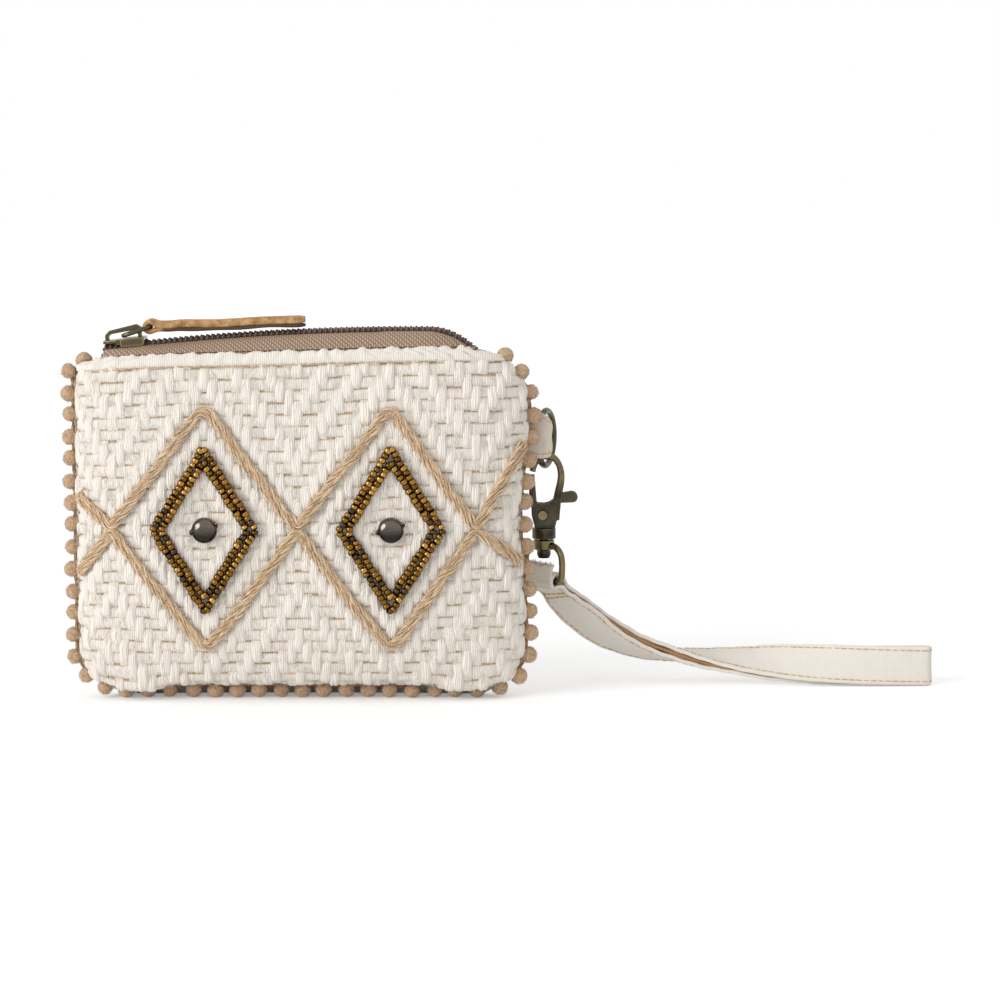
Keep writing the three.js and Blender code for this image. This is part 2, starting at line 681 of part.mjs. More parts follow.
const leftEndFrom = SLIDER_REST_X - SLIDER_LENGTH / 2 - TOUCH_GAP - ZIP_BAR_LENGTH / 2;
const leftEndTo = LIP_LEFT - LIP_END_GAP;
const rightEndFrom = LIP_RIGHT + LIP_END_GAP;
const rightEndTo = SEAM_HALF_WIDTH - ZIP_RIGHT_INSET;
const leftPlaces = spread(7, (share) => leftEndFrom + (leftEndTo - leftEndFrom) * share);
const rightPlaces = spread(8, (share) => rightEndFrom + (rightEndTo - rightEndFrom) * share);
addPart('zip_end_left', zipEnd(leftPlaces, leftEndFrom - ZIP_BAR_LENGTH / 2), BROWN_TAPE);
addPart('zip_end_right', zipEnd(rightPlaces, rightEndTo - ZIP_BAR_LENGTH / 2), BROWN_TAPE);

// Slider: two plates joined by a post that runs between the coils, with edge flanges
// and a crown for the link.
const sliderTurn = Math.asin((SLIDER_REST_X - ZIP_CREST_X) / ZIP_ARC_RADIUS);
const slider = new THREE.Group();
slider.position.set(SLIDER_REST_X, 0, coilZ(SLIDER_REST_X));
slider.rotation.y = sliderTurn;
pouch.add(slider);

const channelHalf = COIL_HALF_HEIGHT + TOUCH_GAP;
const plateTop = channelHalf + SLIDER_PLATE;
const sliderHalf = SLIDER_LENGTH / 2;
const shoulderX = -sliderHalf / 3;
const crownTop = plateTop + CROWN_HEIGHT;

function sliderSolid() {
  const half = [
    [-sliderHalf, SLIDER_NOSE_HALF_WIDTH], [shoulderX, SLIDER_HALF_WIDTH], [sliderHalf, SLIDER_HALF_WIDTH],
  ];
  const plateShape = outline([...half, ...half.map(([x, y]) => [x, -y]).reverse()]);
  const plate = (z) => {
    const geometry = new THREE.ExtrudeGeometry(plateShape, { depth: SLIDER_PLATE, bevelEnabled: false });
    return geometry.translate(0, 0, z);
  };
  const slot = TAPE_THICKNESS / 2 + TOUCH_GAP;
  const flangeInner = SLIDER_HALF_WIDTH - SLIDER_FLANGE;
  const flanges = [-1, 1].flatMap((side) => [[slot, plateTop], [-plateTop, -slot]].map(([low, high]) => box(
    [shoulderX, Math.min(side * flangeInner, side * SLIDER_HALF_WIDTH), low],
    [sliderHalf, Math.max(side * flangeInner, side * SLIDER_HALF_WIDTH), high],
  )));
  const postHalf = COIL_INNER - TOUCH_GAP;
  const post = box(
    [-sliderHalf + TOUCH_GAP, -postHalf, -plateTop],
    [-sliderHalf + TOUCH_GAP + SLIDER_POST_LENGTH, postHalf, plateTop],
  );
  const [left, right] = [-sliderHalf + 0.6, sliderHalf - 1];
  const sunk = plateTop - SLIDER_PLATE / 2;
  const crown = outline([
    [left, sunk], [left, plateTop + 1.6], [left + 1.4, crownTop - 1.1], [right - 1.2, crownTop],
    [right, crownTop - 0.9], [right, sunk],
  ]);
  crown.holes.push(new THREE.Path([
    [left + CROWN_BAR, plateTop], [right - CROWN_BAR, plateTop],
    [right - CROWN_BAR, crownTop - CROWN_BAR - 0.5], [left + 2, crownTop - CROWN_BAR - 1.1],
    [left + CROWN_BAR, plateTop + 1.2],
  ].map(([x, z]) => new THREE.Vector2(x, z))));
  const arch = plateXZ(crown, -CROWN_WIDTH / 2, CROWN_WIDTH);
  return join(plate(channelHalf), plate(-plateTop), ...flanges, post, arch);
}
addPart('slider_body', sliderSolid(), OLD_BRASS, slider);

// Pull link: a rectangle of wire through the crown, lifted at its far end.
const linkRadius = LINK_WIRE / 2;
const linkHalfWidth = LEATHER_WIDTH / 2 + TOUCH_GAP + linkRadius;
const linkPivot = new THREE.Vector3(0, 0, plateTop + linkRadius + TOUCH_GAP);
const link = new THREE.Group();
link.position.copy(linkPivot);
link.rotation.y = -LINK_TILT;
slider.add(link);

function roundedLoop(points, bend) {
  const path = new THREE.CurvePath();
  points.forEach((corner, i) => {
    const before = points[(i + points.length - 1) % points.length];
    const after = points[(i + 1) % points.length];
    const enter = corner.clone().addScaledVector(before.clone().sub(corner).normalize(), bend);
    const leave = corner.clone().addScaledVector(after.clone().sub(corner).normalize(), bend);
    const nextEnter = after.clone().addScaledVector(corner.clone().sub(after).normalize(), bend);
    path.add(new THREE.QuadraticBezierCurve3(enter, corner, leave));
    path.add(new THREE.LineCurve3(leave, nextEnter));
  });
  return path;
}

const linkLoop = roundedLoop([
  new THREE.Vector3(0, -linkHalfWidth, 0), new THREE.Vector3(LINK_LENGTH, -linkHalfWidth, 0),
  new THREE.Vector3(LINK_LENGTH, linkHalfWidth, 0), new THREE.Vector3(0, linkHalfWidth, 0),
], 1);
addPart('pull_link', wire(linkLoop, linkRadius, 32, true, 6), OLD_BRASS, link);

// Leather pull: a strip folded round the link's far bar, its two layers sewn together.
// It slopes up just enough for its free end to clear the crest of the coil.
const leatherEye = linkRadius + RUN_GAP;
const leatherOuter = leatherEye + LEATHER_LAYER * 0.8;
link.updateWorldMatrix(true, false);
const farBar = link.localToWorld(new THREE.Vector3(LINK_LENGTH, 0, 0));
const coilTop = coilZ(farBar.x + LEATHER_LENGTH) + COIL_HALF_HEIGHT;
const endHeight = coilTop + LEATHER_REST_GAP + leatherOuter;
const leatherSlope = Math.asin((endHeight - farBar.z) / LEATHER_LENGTH);
const leather = new THREE.Group();
leather.position.set(LINK_LENGTH, 0, 0);
leather.rotation.y = LINK_TILT - sliderTurn - leatherSlope;
link.add(leather);

function leatherSolid() {
  const outer = leatherOuter;
  const low = -outer;
  const high = low + 2 * LEATHER_LAYER;
  const shape = new THREE.Shape();
  shape.moveTo(0, low);
  shape.lineTo(LEATHER_LENGTH, low);
  shape.lineTo(LEATHER_LENGTH, high);
  shape.lineTo(3 * outer, high);
  shape.lineTo(0, outer);
  shape.absarc(0, 0, outer, Math.PI / 2, (3 * Math.PI) / 2, false);
  const hole = new THREE.Path();
  hole.absarc(0, 0, leatherEye, 0, 2 * Math.PI, true);
  shape.holes.push(hole);
  return plateXZ(shape, -LEATHER_WIDTH / 2, LEATHER_WIDTH);
}
addPart('leather_pull', leatherSolid(), TAN_LEATHER, leather);

// Side tab: a strip of cloth sewn to the seam, folded round the ring.
// Its front layer is the full width of the strip.
const seamX = SEAM_HALF_WIDTH;
const tabFold = seamX + TAB_REACH;
const ringRadius = RING_OUTER_RADIUS - RING_WIRE / 2;
const tabMiddle = TAB_BOTTOM + TAB_HEIGHT / 2;
const ringZ = tabMiddle - RING_DROP;
const loopMiddle = tabMiddle - TAB_LOOP_DROP;
const ringReach = TAB_LOOP_HEIGHT / 2 + loopMiddle - ringZ;
const ringSagitta = ringRadius - Math.sqrt((ringRadius - RING_WIRE / 2) ** 2 - ringReach ** 2);
const ringSeat = {
  x: tabFold - TAB_CLOTH - RING_SEAT_INSET,
  y: TAB_FRONT + TAB_CLOTH + TOUCH_GAP + RING_WIRE / 2,
};
const tabBack = ringSeat.y + ringSagitta + TOUCH_GAP + TAB_CLOTH;

function tabSolid() {
  const loopLeft = ringSeat.x - RING_WIRE / 2 - TOUCH_GAP - 0.35;
  const corner = 1.6;
  const shape = outline([
    [seamX + 0.1, TAB_FRONT + 0.6], [loopLeft - 0.4, TAB_FRONT], [tabFold - corner, TAB_FRONT],
    [tabFold - 0.4, TAB_FRONT + 0.5], [tabFold, TAB_FRONT + corner], [tabFold, tabBack - corner],
    [tabFold - 0.4, tabBack - 0.5], [tabFold - corner, tabBack], [loopLeft + 0.6, tabBack],
    [loopLeft - TAB_CLOTH, tabBack - 2], [seamX + 0.1, TAB_FRONT + 2.6],
  ]);
  const [holeRight, holeFront, holeBack] = [tabFold - TAB_CLOTH, TAB_FRONT + TAB_CLOTH, tabBack - TAB_CLOTH];
  shape.holes.push(new THREE.Path([
    [loopLeft, holeFront], [holeRight - 0.6, holeFront], [holeRight, holeFront + 0.6],
    [holeRight, holeBack - 0.6], [holeRight - 0.6, holeBack], [loopLeft + 0.8, holeBack],
    [loopLeft, holeBack - 2],
  ].map(([x, y]) => new THREE.Vector2(x, y))));
  const loop = new THREE.ExtrudeGeometry(shape, { depth: TAB_LOOP_HEIGHT, bevelEnabled: false });
  loop.translate(0, 0, loopMiddle - TAB_LOOP_HEIGHT / 2);
  const front = box(
    [loopLeft - 0.4, TAB_FRONT, TAB_BOTTOM],
    [tabFold - corner, TAB_FRONT + TAB_CLOTH, TAB_BOTTOM + TAB_HEIGHT],
  );
  return join(loop, front);
}
addPart('side_tab', tabSolid(), CREAM_COTTON);

// Ring: it runs back from the tab, almost edge-on to the front.
const ringCentre = new THREE.Vector3(
  ringSeat.x + ringRadius * Math.sin(RING_TURN),
  ringSeat.y + ringRadius * Math.cos(RING_TURN),
  ringZ,
);
const ringShape = new THREE.TorusGeometry(ringRadius, RING_WIRE / 2, 8, 28).rotateX(Math.PI / 2);
ringShape.rotateZ(Math.PI / 2 - RING_TURN).translate(ringCentre.x, ringCentre.y, ringCentre.z);
addPart('side_ring', ringShape, OLD_BRASS);

// Swivel hook: it hangs from the lowest point of the ring.
// Heights below are measured from the inside of its claw.
const hook = new THREE.Group();
const ringInner = RING_OUTER_RADIUS - RING_WIRE;
const ringRise = ringInner - Math.sqrt(ringInner ** 2 - (HOOK_THICKNESS / 2) ** 2);
hook.position.set(ringCentre.x - 0.5, ringCentre.y, ringZ - ringInner + ringRise + TOUCH_GAP);
pouch.add(hook);

const holeBottom = -HOOK_HOLE_HEIGHT;
const bodyBottom = holeBottom - HOOK_BODY_HEIGHT;
const collarBottom = bodyBottom - COLLAR_HEIGHT;
const rivetZ = holeBottom - HOOK_BODY_HEIGHT * 0.46;
const slotBottom = bodyBottom + 1.7;
const slotTop = holeBottom + 5.3;
const clawHalf = HOOK_CLAW / 2;

function clawSolid() {
  const bulge = HOOK_CLAW_BULGE;
  const tip = HOOK_HALF_WIDTH - clawHalf;
  const route = [
    [bulge - 1.9, bodyBottom + 2.5], [bulge - 1.3, holeBottom + 0.2], [bulge - 0.9, holeBottom + 2.8],
    [bulge - 0.2, -7], [bulge, -4.2], [bulge - 0.8, -1.1], [bulge - 2.5, clawHalf], [0.5, clawHalf + 0.3],
    [-tip + 2.4, clawHalf - 0.1], [-tip + 1, -1.3], [-tip + 0.4, -3.4],
  ].map(([x, z]) => new THREE.Vector3(x, 0, z));
  const curve = new THREE.CatmullRomCurve3(route, false, 'centripetal');
  const bevel = 0.5;
  const deep = HOOK_THICKNESS / 2;
  return loft(spread(22, (share) => {
    const centre = curve.getPointAt(share);
    const along = curve.getTangentAt(share);
    const sideways = new THREE.Vector3(-along.z, 0, along.x);
    const wide = THREE.MathUtils.lerp(HOOK_CLAW_ROOT / 2, clawHalf, Math.min(1, share / 0.6));
    return [
      [wide, deep - bevel], [wide - bevel, deep], [bevel - wide, deep], [-wide, deep - bevel],
      [-wide, bevel - deep], [bevel - wide, -deep], [wide - bevel, -deep], [wide, bevel - deep],
    ].map(([s, y]) => centre.clone().addScaledVector(sideways, s).setY(y));
  }));
}

function hookSolid() {
  const half = HOOK_THICKNESS / 2;
  const block = outline([
    [-2.7, bodyBottom - 0.2], [3.3, bodyBottom - 0.2], [HOOK_HALF_WIDTH - 0.6, bodyBottom + 4],
    [HOOK_HALF_WIDTH, holeBottom + 0.4], [2.9, holeBottom + 1.4], [1.6, holeBottom + 0.4], [0, holeBottom],
    [-1.8, holeBottom + 0.2], [-3.9, holeBottom + 0.8], [-3.8, bodyBottom + 4],
  ]);
  const collar = pipe(SWIVEL_PIN_RADIUS + RUN_GAP, COLLAR_RADIUS, collarBottom, bodyBottom);
  const cap = rod(COLLAR_RADIUS, collarBottom + COLLAR_HEIGHT / 2, bodyBottom);
  const slot = box(
    [-2 * HOOK_HALF_WIDTH, -HOOK_SLOT / 2, slotBottom],
    [2 * HOOK_HALF_WIDTH, HOOK_SLOT / 2, slotTop],
  );
  const bore = rod(TRIGGER_RIVET_RADIUS + RUN_GAP, -HOOK_THICKNESS, HOOK_THICKNESS).rotateX(-Math.PI / 2);
  bore.translate(TRIGGER_RIVET_X, 0, rivetZ);
  return cut(join(plateXZ(block, -half, HOOK_THICKNESS), clawSolid(), collar, cap), slot, bore);
}
addPart('hook_body', hookSolid(), OLD_BRASS, hook);

// Trigger: one lever, with the gate that shuts the claw on the left and the thumb piece on the right.
function triggerSolid() {
  const [pivotX, pivotZ] = [TRIGGER_RIVET_X, rivetZ];
  const hub = 1.9;
  const tip = -4.3;
  const shape = outline([
    [pivotX - hub, pivotZ - 0.6], [pivotX - 1, pivotZ - hub + 0.2], [pivotX + 1, pivotZ - hub + 0.2],
    [pivotX + hub, pivotZ - 0.4], [4.4, holeBottom + 0.1], [TRIGGER_REACH - 1.1, holeBottom + 0.3],
    [TRIGGER_REACH - 0.3, holeBottom + 0.9], [TRIGGER_REACH, holeBottom + 1.9],
    [TRIGGER_REACH - 0.3, holeBottom + 3], [TRIGGER_REACH - 1, holeBottom + 3.7],
    [TRIGGER_REACH - 2.1, holeBottom + 3.9], [5.6, holeBottom + 3.4],
    [2.6, holeBottom + 1.3], [pivotX + 1, pivotZ + hub], [-2.2, holeBottom + 0.6],
    [-2.9, tip], [-4.5, tip], [-4.6, holeBottom + 0.4],
  ]);
  const hole = new THREE.Path();
  hole.absarc(pivotX, pivotZ, TRIGGER_RIVET_RADIUS + RUN_GAP, 0, 2 * Math.PI, true);
  shape.holes.push(hole);
  return plateXZ(shape, -HOOK_SLOT / 2 + TOUCH_GAP, TRIGGER_THICKNESS);
}
addPart('hook_trigger', triggerSolid(), OLD_BRASS, hook);

const rivetHeadFrom = HOOK_THICKNESS / 2 + TOUCH_GAP;
const rivetHeadTo = rivetHeadFrom + 0.5;
const rivetProfile = [
  [0, -rivetHeadTo], [TRIGGER_RIVET_HEAD, -rivetHeadTo], [TRIGGER_RIVET_HEAD, -rivetHeadFrom],
  [TRIGGER_RIVET_RADIUS, -rivetHeadFrom], [TRIGGER_RIVET_RADIUS, rivetHeadFrom],
  [TRIGGER_RIVET_HEAD, rivetHeadFrom], [TRIGGER_RIVET_HEAD, rivetHeadTo], [0, rivetHeadTo],
];
const triggerRivet = turnedZ(rivetProfile, 12).rotateX(Math.PI / 2).translate(TRIGGER_RIVET_X, 0, rivetZ);
addPart('trigger_rivet', triggerRivet, OLD_BRASS, hook);

const springFrom = -HOOK_SLOT / 2 + TRIGGER_THICKNESS + 2 * TOUCH_GAP;
const springRing = pipe(TRIGGER_RIVET_RADIUS + RUN_GAP, 1.7, -HOOK_SLOT / 2 + TOUCH_GAP, -springFrom, 12);
addPart('trigger_spring', springRing.rotateX(Math.PI / 2).translate(TRIGGER_RIVET_X, 0, rivetZ), STEEL, hook);

// Swivel: a headed rivet under the collar carries the eye, which turns on it.
const hubTop = collarBottom - TOUCH_GAP;
const hubBottom = hubTop - EYE_HUB_HEIGHT;
const headTop = hubBottom - TOUCH_GAP;
const pinTop = collarBottom + COLLAR_HEIGHT / 2 - TOUCH_GAP;
addPart('swivel_rivet', turnedZ([
  [0, headTop - SWIVEL_HEAD_HEIGHT], [SWIVEL_HEAD_RADIUS * 0.8, headTop - SWIVEL_HEAD_HEIGHT],
  [SWIVEL_HEAD_RADIUS, headTop - SWIVEL_HEAD_HEIGHT / 2], [SWIVEL_HEAD_RADIUS, headTop],
  [SWIVEL_PIN_RADIUS, headTop], [SWIVEL_PIN_RADIUS, pinTop], [0, pinTop],
]), OLD_BRASS, hook);

const eye = new THREE.Group();
eye.rotation.z = EYE_TURN;
hook.add(eye);
const eyeRadius = EYE_WIRE / 2;
const barZ = hubBottom - EYE_DROP + eyeRadius;
const barHalf = STRAP_WIDTH / 2 + 3 * TOUCH_GAP;

function eyeSolid() {
  const shoulder = hubTop - EYE_HUB_HEIGHT / 2;
  const sideX = barHalf + 1.1;
  const right = [
    [EYE_HUB_RADIUS - 0.9, shoulder], [EYE_HUB_RADIUS + 2, shoulder - 0.3], [sideX - 0.6, shoulder - 2.2],
    [sideX, shoulder - 5.2], [sideX - 0.2, barZ + 1.5], [barHalf, barZ + 0.2], [barHalf - 1.5, barZ],
  ];
  const left = right.map(([x, z]) => [-x, z]).reverse();
  const route = [...right, [0, barZ], ...left].map(([x, z]) => new THREE.Vector3(x, 0, z));
  const bow = wire(new THREE.CatmullRomCurve3(route, false, 'centripetal'), eyeRadius, 34, false);
  const hub = pipe(SWIVEL_PIN_RADIUS + RUN_GAP, EYE_HUB_RADIUS, hubBottom, hubTop);
  return join(hub, bow);
}
addPart('swivel_eye', eyeSolid(), OLD_BRASS, eye);

// Wrist strap: one flat band folded over the eye's bar, sewn to itself, and turned back at its far end.
// Each place on its middle line is given by how far it is from the bar along X and Y, its height
// over the ground, and its roll: the angle of the band's width, in degrees, from upright to the front.
const bar = new THREE.Vector3(hook.position.x, hook.position.y, hook.position.z + barZ);
const STRAP_ROUTE = [
  [0, 0, bar.z, 60], [2.7, 2.5, 31.4, 56], [5.5, 4.5, 28.2, 48], [9.1, 7, 24.2, 41], [13.5, 9.5, 20.2, 38],
  [18.1, 11.6, 16.6, 42], [23.7, 13.2, 13.4, 50], [29.9, 14.2, 10.8, 60], [38.9, 14.6, 8.6, 75],
  [48.9, 14.2, 7.2, 97], [59.9, 12.8, 6.6, 122], [71.9, 10.8, 6.3, 150], [84.9, 8.6, 6.2, 169],
  [97.9, 7.2, 6.2, 177], [108.9, 6.8, 6.2, 180], [117.9, 6.8, 6.2, 180],
];

function strapSolid() {
  const places = STRAP_ROUTE;
  const middles = places.map(([x, y, z]) => new THREE.Vector3(bar.x + x, bar.y + y, z));
  const curve = new THREE.CatmullRomCurve3(middles, false, 'centripetal');
  const steps = 3 * (places.length - 1);
  const barLine = new THREE.Vector3(Math.cos(EYE_TURN), Math.sin(EYE_TURN), 0);
  const half = STRAP_THICKNESS / 2;
  const foldRadius = eyeRadius + STRAP_FOLD_GAP + half;
  let travelled = 0;
  let last = curve.getPoint(0);
  const frames = spread(steps, (share) => {
    const middle = curve.getPoint(share);
    travelled += middle.distanceTo(last);
    last = middle;
    const slot = Math.min(share * (places.length - 1), places.length - 1.001);
    const k = Math.floor(slot);
    const roll = THREE.MathUtils.degToRad(THREE.MathUtils.lerp(places[k][3], places[k + 1][3], slot - k));
    const along = curve.getTangent(share);
    const wide = new THREE.Vector3(0, -Math.sin(roll), Math.cos(roll));
    if (share === 0) {
      along.addScaledVector(barLine, -along.dot(barLine)).normalize();
      wide.copy(barLine);
    }
    wide.addScaledVector(along, -wide.dot(along)).normalize();
    const normal = along.clone().cross(wide);
    const sewn = half + STRAP_SEWN_GAP / 2;
    const open = half + STRAP_LOOP_GAP / 2;
    const closing = THREE.MathUtils.smoothstep(travelled, 0, STRAP_SEWN_LENGTH / 2);
    const opening = THREE.MathUtils.smoothstep(travelled, STRAP_SEWN_LENGTH, STRAP_OPEN_LENGTH);
    const gap = THREE.MathUtils.lerp(foldRadius, sewn, closing) + (open - sewn) * opening;
    return { middle, along, wide, normal, gap };
  });
  const ring = ({ middle, wide, gap }, facing) => {
    const centre = middle.clone().addScaledVector(facing, gap);
    return [[half, 1], [half, -1], [-half, -1], [-half, 1]].map(([out, side]) => centre.clone()
      .addScaledVector(facing, out).addScaledVector(wide, (side * STRAP_WIDTH) / 2));
  };
  const fold = (frame, sign) => [1, 2, 3, 4].map((k) => {
    const angle = (Math.PI * k) / 5;
    const facing = frame.normal.clone().multiplyScalar(sign * Math.cos(angle));
    return ring(frame, facing.addScaledVector(frame.along, sign * Math.sin(angle)));
  });
  const front = frames.map((frame) => ring(frame, frame.normal));
  const back = frames.map((frame) => ring(frame, frame.normal.clone().negate())).reverse();
  return loft([...front, ...fold(frames[frames.length - 1], 1), ...back, ...fold(frames[0], -1)], true);
}
addPart('wrist_strap', strapSolid(), CREAM_COTTON);

export default pouch;
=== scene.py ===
import math
import random

import bmesh
import bpy
from mathutils import Matrix, Vector, noise


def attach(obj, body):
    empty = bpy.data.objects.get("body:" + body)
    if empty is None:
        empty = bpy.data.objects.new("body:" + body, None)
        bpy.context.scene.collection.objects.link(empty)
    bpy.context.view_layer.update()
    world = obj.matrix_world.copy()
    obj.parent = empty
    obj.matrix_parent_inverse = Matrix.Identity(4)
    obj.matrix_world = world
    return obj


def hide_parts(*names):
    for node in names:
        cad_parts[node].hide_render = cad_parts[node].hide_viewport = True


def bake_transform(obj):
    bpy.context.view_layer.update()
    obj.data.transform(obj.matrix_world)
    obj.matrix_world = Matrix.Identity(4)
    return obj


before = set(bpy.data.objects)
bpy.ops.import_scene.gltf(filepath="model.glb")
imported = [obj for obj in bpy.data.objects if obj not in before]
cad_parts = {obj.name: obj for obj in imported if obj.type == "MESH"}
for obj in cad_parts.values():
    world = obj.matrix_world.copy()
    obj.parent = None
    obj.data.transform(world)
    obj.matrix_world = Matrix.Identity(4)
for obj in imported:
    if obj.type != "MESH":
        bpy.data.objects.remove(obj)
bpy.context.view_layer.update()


# Camera, ground and light.
# A low, distant camera looks at the front of the pouch, with the strap running out to the right.
# The ground is matt white paper, lit evenly with one soft lamp from the left.
MM = 0.001
VIEW_FROM, VIEW_AT, VIEW_HALF_ANGLE = Vector((59.7, -843.7, 163.6)), Vector((59.7, 0, 60)), math.radians(10)


def srgb(code):
    """An sRGB hex value as a linear colour."""
    parts = [int(code[i:i + 2], 16) / 255 for i in (0, 2, 4)]
    return [p / 12.92 if p <= 0.04045 else ((p + 0.055) / 1.055) ** 2.4 for p in parts] + [1]


def set_inputs(tree, made, inputs):
    """Links or sets a node's inputs. A node given as a value stands for its first output in use."""
    for key, value in inputs.items():
        if isinstance(value, bpy.types.Node):
            value = next(socket for socket in value.outputs if socket.enabled)
        if isinstance(value, bpy.types.NodeSocket):
            tree.links.new(value, made.inputs[key])
        else:
            made.inputs[key].default_value = value


def node(tree, kind, inputs={}, **settings):
    """Adds a node with its settings and inputs. A kind without a family is a shader node."""
    made = tree.nodes.new(kind if "Node" in kind else "ShaderNode" + kind)
    for name, value in settings.items():
        setattr(made, name, value)
    set_inputs(tree, made, inputs)
    return made


def new_material(name):
    """An empty material, its tree, and a Principled shader joined to the output."""
    material = bpy.data.materials.new(name)
    material.use_nodes = True
    tree = material.node_tree
    tree.nodes.clear()
    shader = node(tree, "BsdfPrincipled")
    node(tree, "OutputMaterial", {"Surface": shader})
    return material, tree, shader


def new_object(name, data):
    made = bpy.data.objects.new(name, data)
    bpy.context.scene.collection.objects.link(made)
    return made


def new_piece(name, points, faces, material=None):
    """A smooth mesh object from points in millimetres."""
    mesh = bpy.data.meshes.new(name)
    mesh.from_pydata([tuple(c * MM for c in p) for p in points], [], faces)
    mesh.validate()
    mesh.shade_smooth()
    if material:
        mesh.materials.append(material)
    return new_object(name, mesh)


def seen_rays(tree):
    """One on the rays that reach the eye, straight, off a mirror or through glass, which keep the background white."""
    rays = node(tree, "LightPath").outputs
    mirrored = node(tree, "Math", {0: rays["Is Camera Ray"], 1: rays["Is Glossy Ray"]}, operation="MAXIMUM")
    return node(tree, "Math", {0: mirrored, 1: rays["Is Transmission Ray"]}, operation="MAXIMUM")


view = bpy.data.cameras.new("view")
view.sensor_width = 36
view.lens = view.sensor_width / 2 / math.tan(VIEW_HALF_ANGLE)
view.clip_end = 50
camera = new_object("view", view)
camera.location = VIEW_FROM * MM
camera.rotation_euler = (VIEW_AT - VIEW_FROM).to_track_quat("-Z", "Y").to_euler()
bpy.context.scene.camera = camera
bpy.context.scene.view_settings.view_transform = "Standard"

# White paper: matt, with a faint glow that only the eye sees.
paper, tree, shader = new_material("white_paper")
glow = node(tree, "Math", {0: seen_rays(tree), 1: 0.25}, operation="MULTIPLY")
set_inputs(tree, shader, {"Base Color": srgb("f7f7f7"), "Roughness": 0.9, "Specular IOR Level": 0.1,
                          "Emission Color": (1, 1, 1, 1), "Emission Strength": glow})
ground = new_piece("ground", [(-4e3, -2e3, -0.1), (4e3, -2e3, -0.1), (4e3, 6e3, -0.1), (-4e3, 6e3, -0.1)],
                   [(0, 1, 2, 3)], paper)

world = bpy.data.worlds.new("studio")
bpy.context.scene.world = world
world.use_nodes = True
sky = world.node_tree
sky.nodes.clear()
strength = node(sky, "MapRange", {0: seen_rays(sky), 3: 0.74, 4: 1.0})
node(sky, "OutputWorld", {0: node(sky, "Background", {0: (1, 1, 1, 1), 1: strength})})

key = bpy.data.lights.new("soft_key", "SUN")
key.energy = 1.55
key.angle = math.radians(34)
new_object("soft_key", key).rotation_euler = Vector((0.8, 0.6, -0.36)).to_track_quat("-Z", "Y").to_euler()


# Linings: a plain woven cotton bag inside the pouch, sewn in along the mouth.
# Each half follows its panel, a wall's thickness inside it.
FACES = (("front", -1), ("back", 1))
SEAM_HALF_WIDTH, SEAM_BOTTOM, SEAM_HALF_GAP = 67, 4.2, 0.5
MOUTH_HEIGHT, MOUTH_TILT, MOUTH_END_DROP, MOUTH_HALF_DEPTH = 104.8, 1.6, 1.2, 10.5
PANEL_DEPTH, PANEL_TALL, FULLEST = {-1: 14.5, 1: 18}, MOUTH_HEIGHT - SEAM_BOTTOM, 0.42
CORNER, TOP_CORNER = 11, {-1: 6, 1: 15}
SEAM_SWINGS = ((1.4, 86, 11), (-1.3, 54, 14), (0.5, 22, 11))
BACK_SAG, FRONT_SAG, CORNER_SAG = 10, 1.2, 3.4
TOP_ROWS_FROM, LINING_INSETS, LINING_TOP = 0.93, (2.5, 3.3), 0.985
WAVE_PERIOD = 0.3142  # of a wave texture of scale one


def across(u):
    """Share of a panel's depth from seam to seam."""
    return max(0, 1 - abs(u) ** 3.2) ** 0.42


def mouth_top(u):
    return MOUTH_HEIGHT + MOUTH_TILT * u - MOUTH_END_DROP * u ** 6


def swell(v, mouth_share):
    """Share of a panel's depth from the bottom to the mouth."""
    if v < FULLEST:
        return (1 - (1 - max(v, 0) / FULLEST) ** 2.5) ** 0.4
    return 1 - (1 - mouth_share) * ((v - FULLEST) / (1 - FULLEST)) ** 2


def corner_cut(height, radius):
    return 0 if height >= radius else radius - math.sqrt(max(0, radius ** 2 - (radius - height) ** 2))


def waist(z):
    """How far the right-hand seam swings out at its two bulges and in at the jute's crossing."""
    return sum(out * math.exp(-((z - middle) / reach) ** 2) for out, middle, reach in SEAM_SWINGS)


def row_half_width(v, u):
    """The right-hand seam is drawn in at its waist, and its top corner is rounder than the left-hand one."""
    side = 1 if u > 0 else -1
    half = SEAM_HALF_WIDTH - corner_cut(v * PANEL_TALL, CORNER) - corner_cut((1 - v) * PANEL_TALL, TOP_CORNER[side])
    return half + waist(SEAM_BOTTOM + v * PANEL_TALL) if side > 0 else half


def sag(side, u, v):
    """How far a panel's foot hangs below its seam."""
    height = v * PANEL_TALL / 3
    drop = height ** 2 * math.exp(2 * (1 - height))
    if side > 0:
        return BACK_SAG * drop * (1 - u ** 8)
    return FRONT_SAG * drop + CORNER_SAG * drop * math.exp(-((abs(u) - 0.8) / 0.15) ** 2)


def pillow(side, u, v, inset):
    """A point of a filled panel: u from seam to seam, v from the bottom to the mouth, inset under its face."""
    depth = PANEL_DEPTH[side] - inset
    bottom = SEAM_BOTTOM + inset
    height = bottom + (mouth_top(u) - bottom) * v - sag(side, u, v)
    bulge = depth * across(u) * swell(v, (MOUTH_HALF_DEPTH - inset) / depth)
    x = u * (row_half_width(v, u) - inset)
    return Vector((x, side * (SEAM_HALF_GAP + bulge), max(height, inset)))


def panel_shares(columns, rows):
    """Columns crowd towards the seams, and rows towards the bottom and the top corners."""
    us = [math.sin(math.pi / 2 * (2 * i / columns - 1)) for i in range(columns + 1)]
    vs = [TOP_ROWS_FROM * (i / rows) ** 2.2 for i in range(rows + 1)]
    return us, vs + [TOP_ROWS_FROM + (1 - TOP_ROWS_FROM) * share
                     for share in (0.2, 0.4, 0.55, 0.7, 0.82, 0.91, 0.97, 1)]


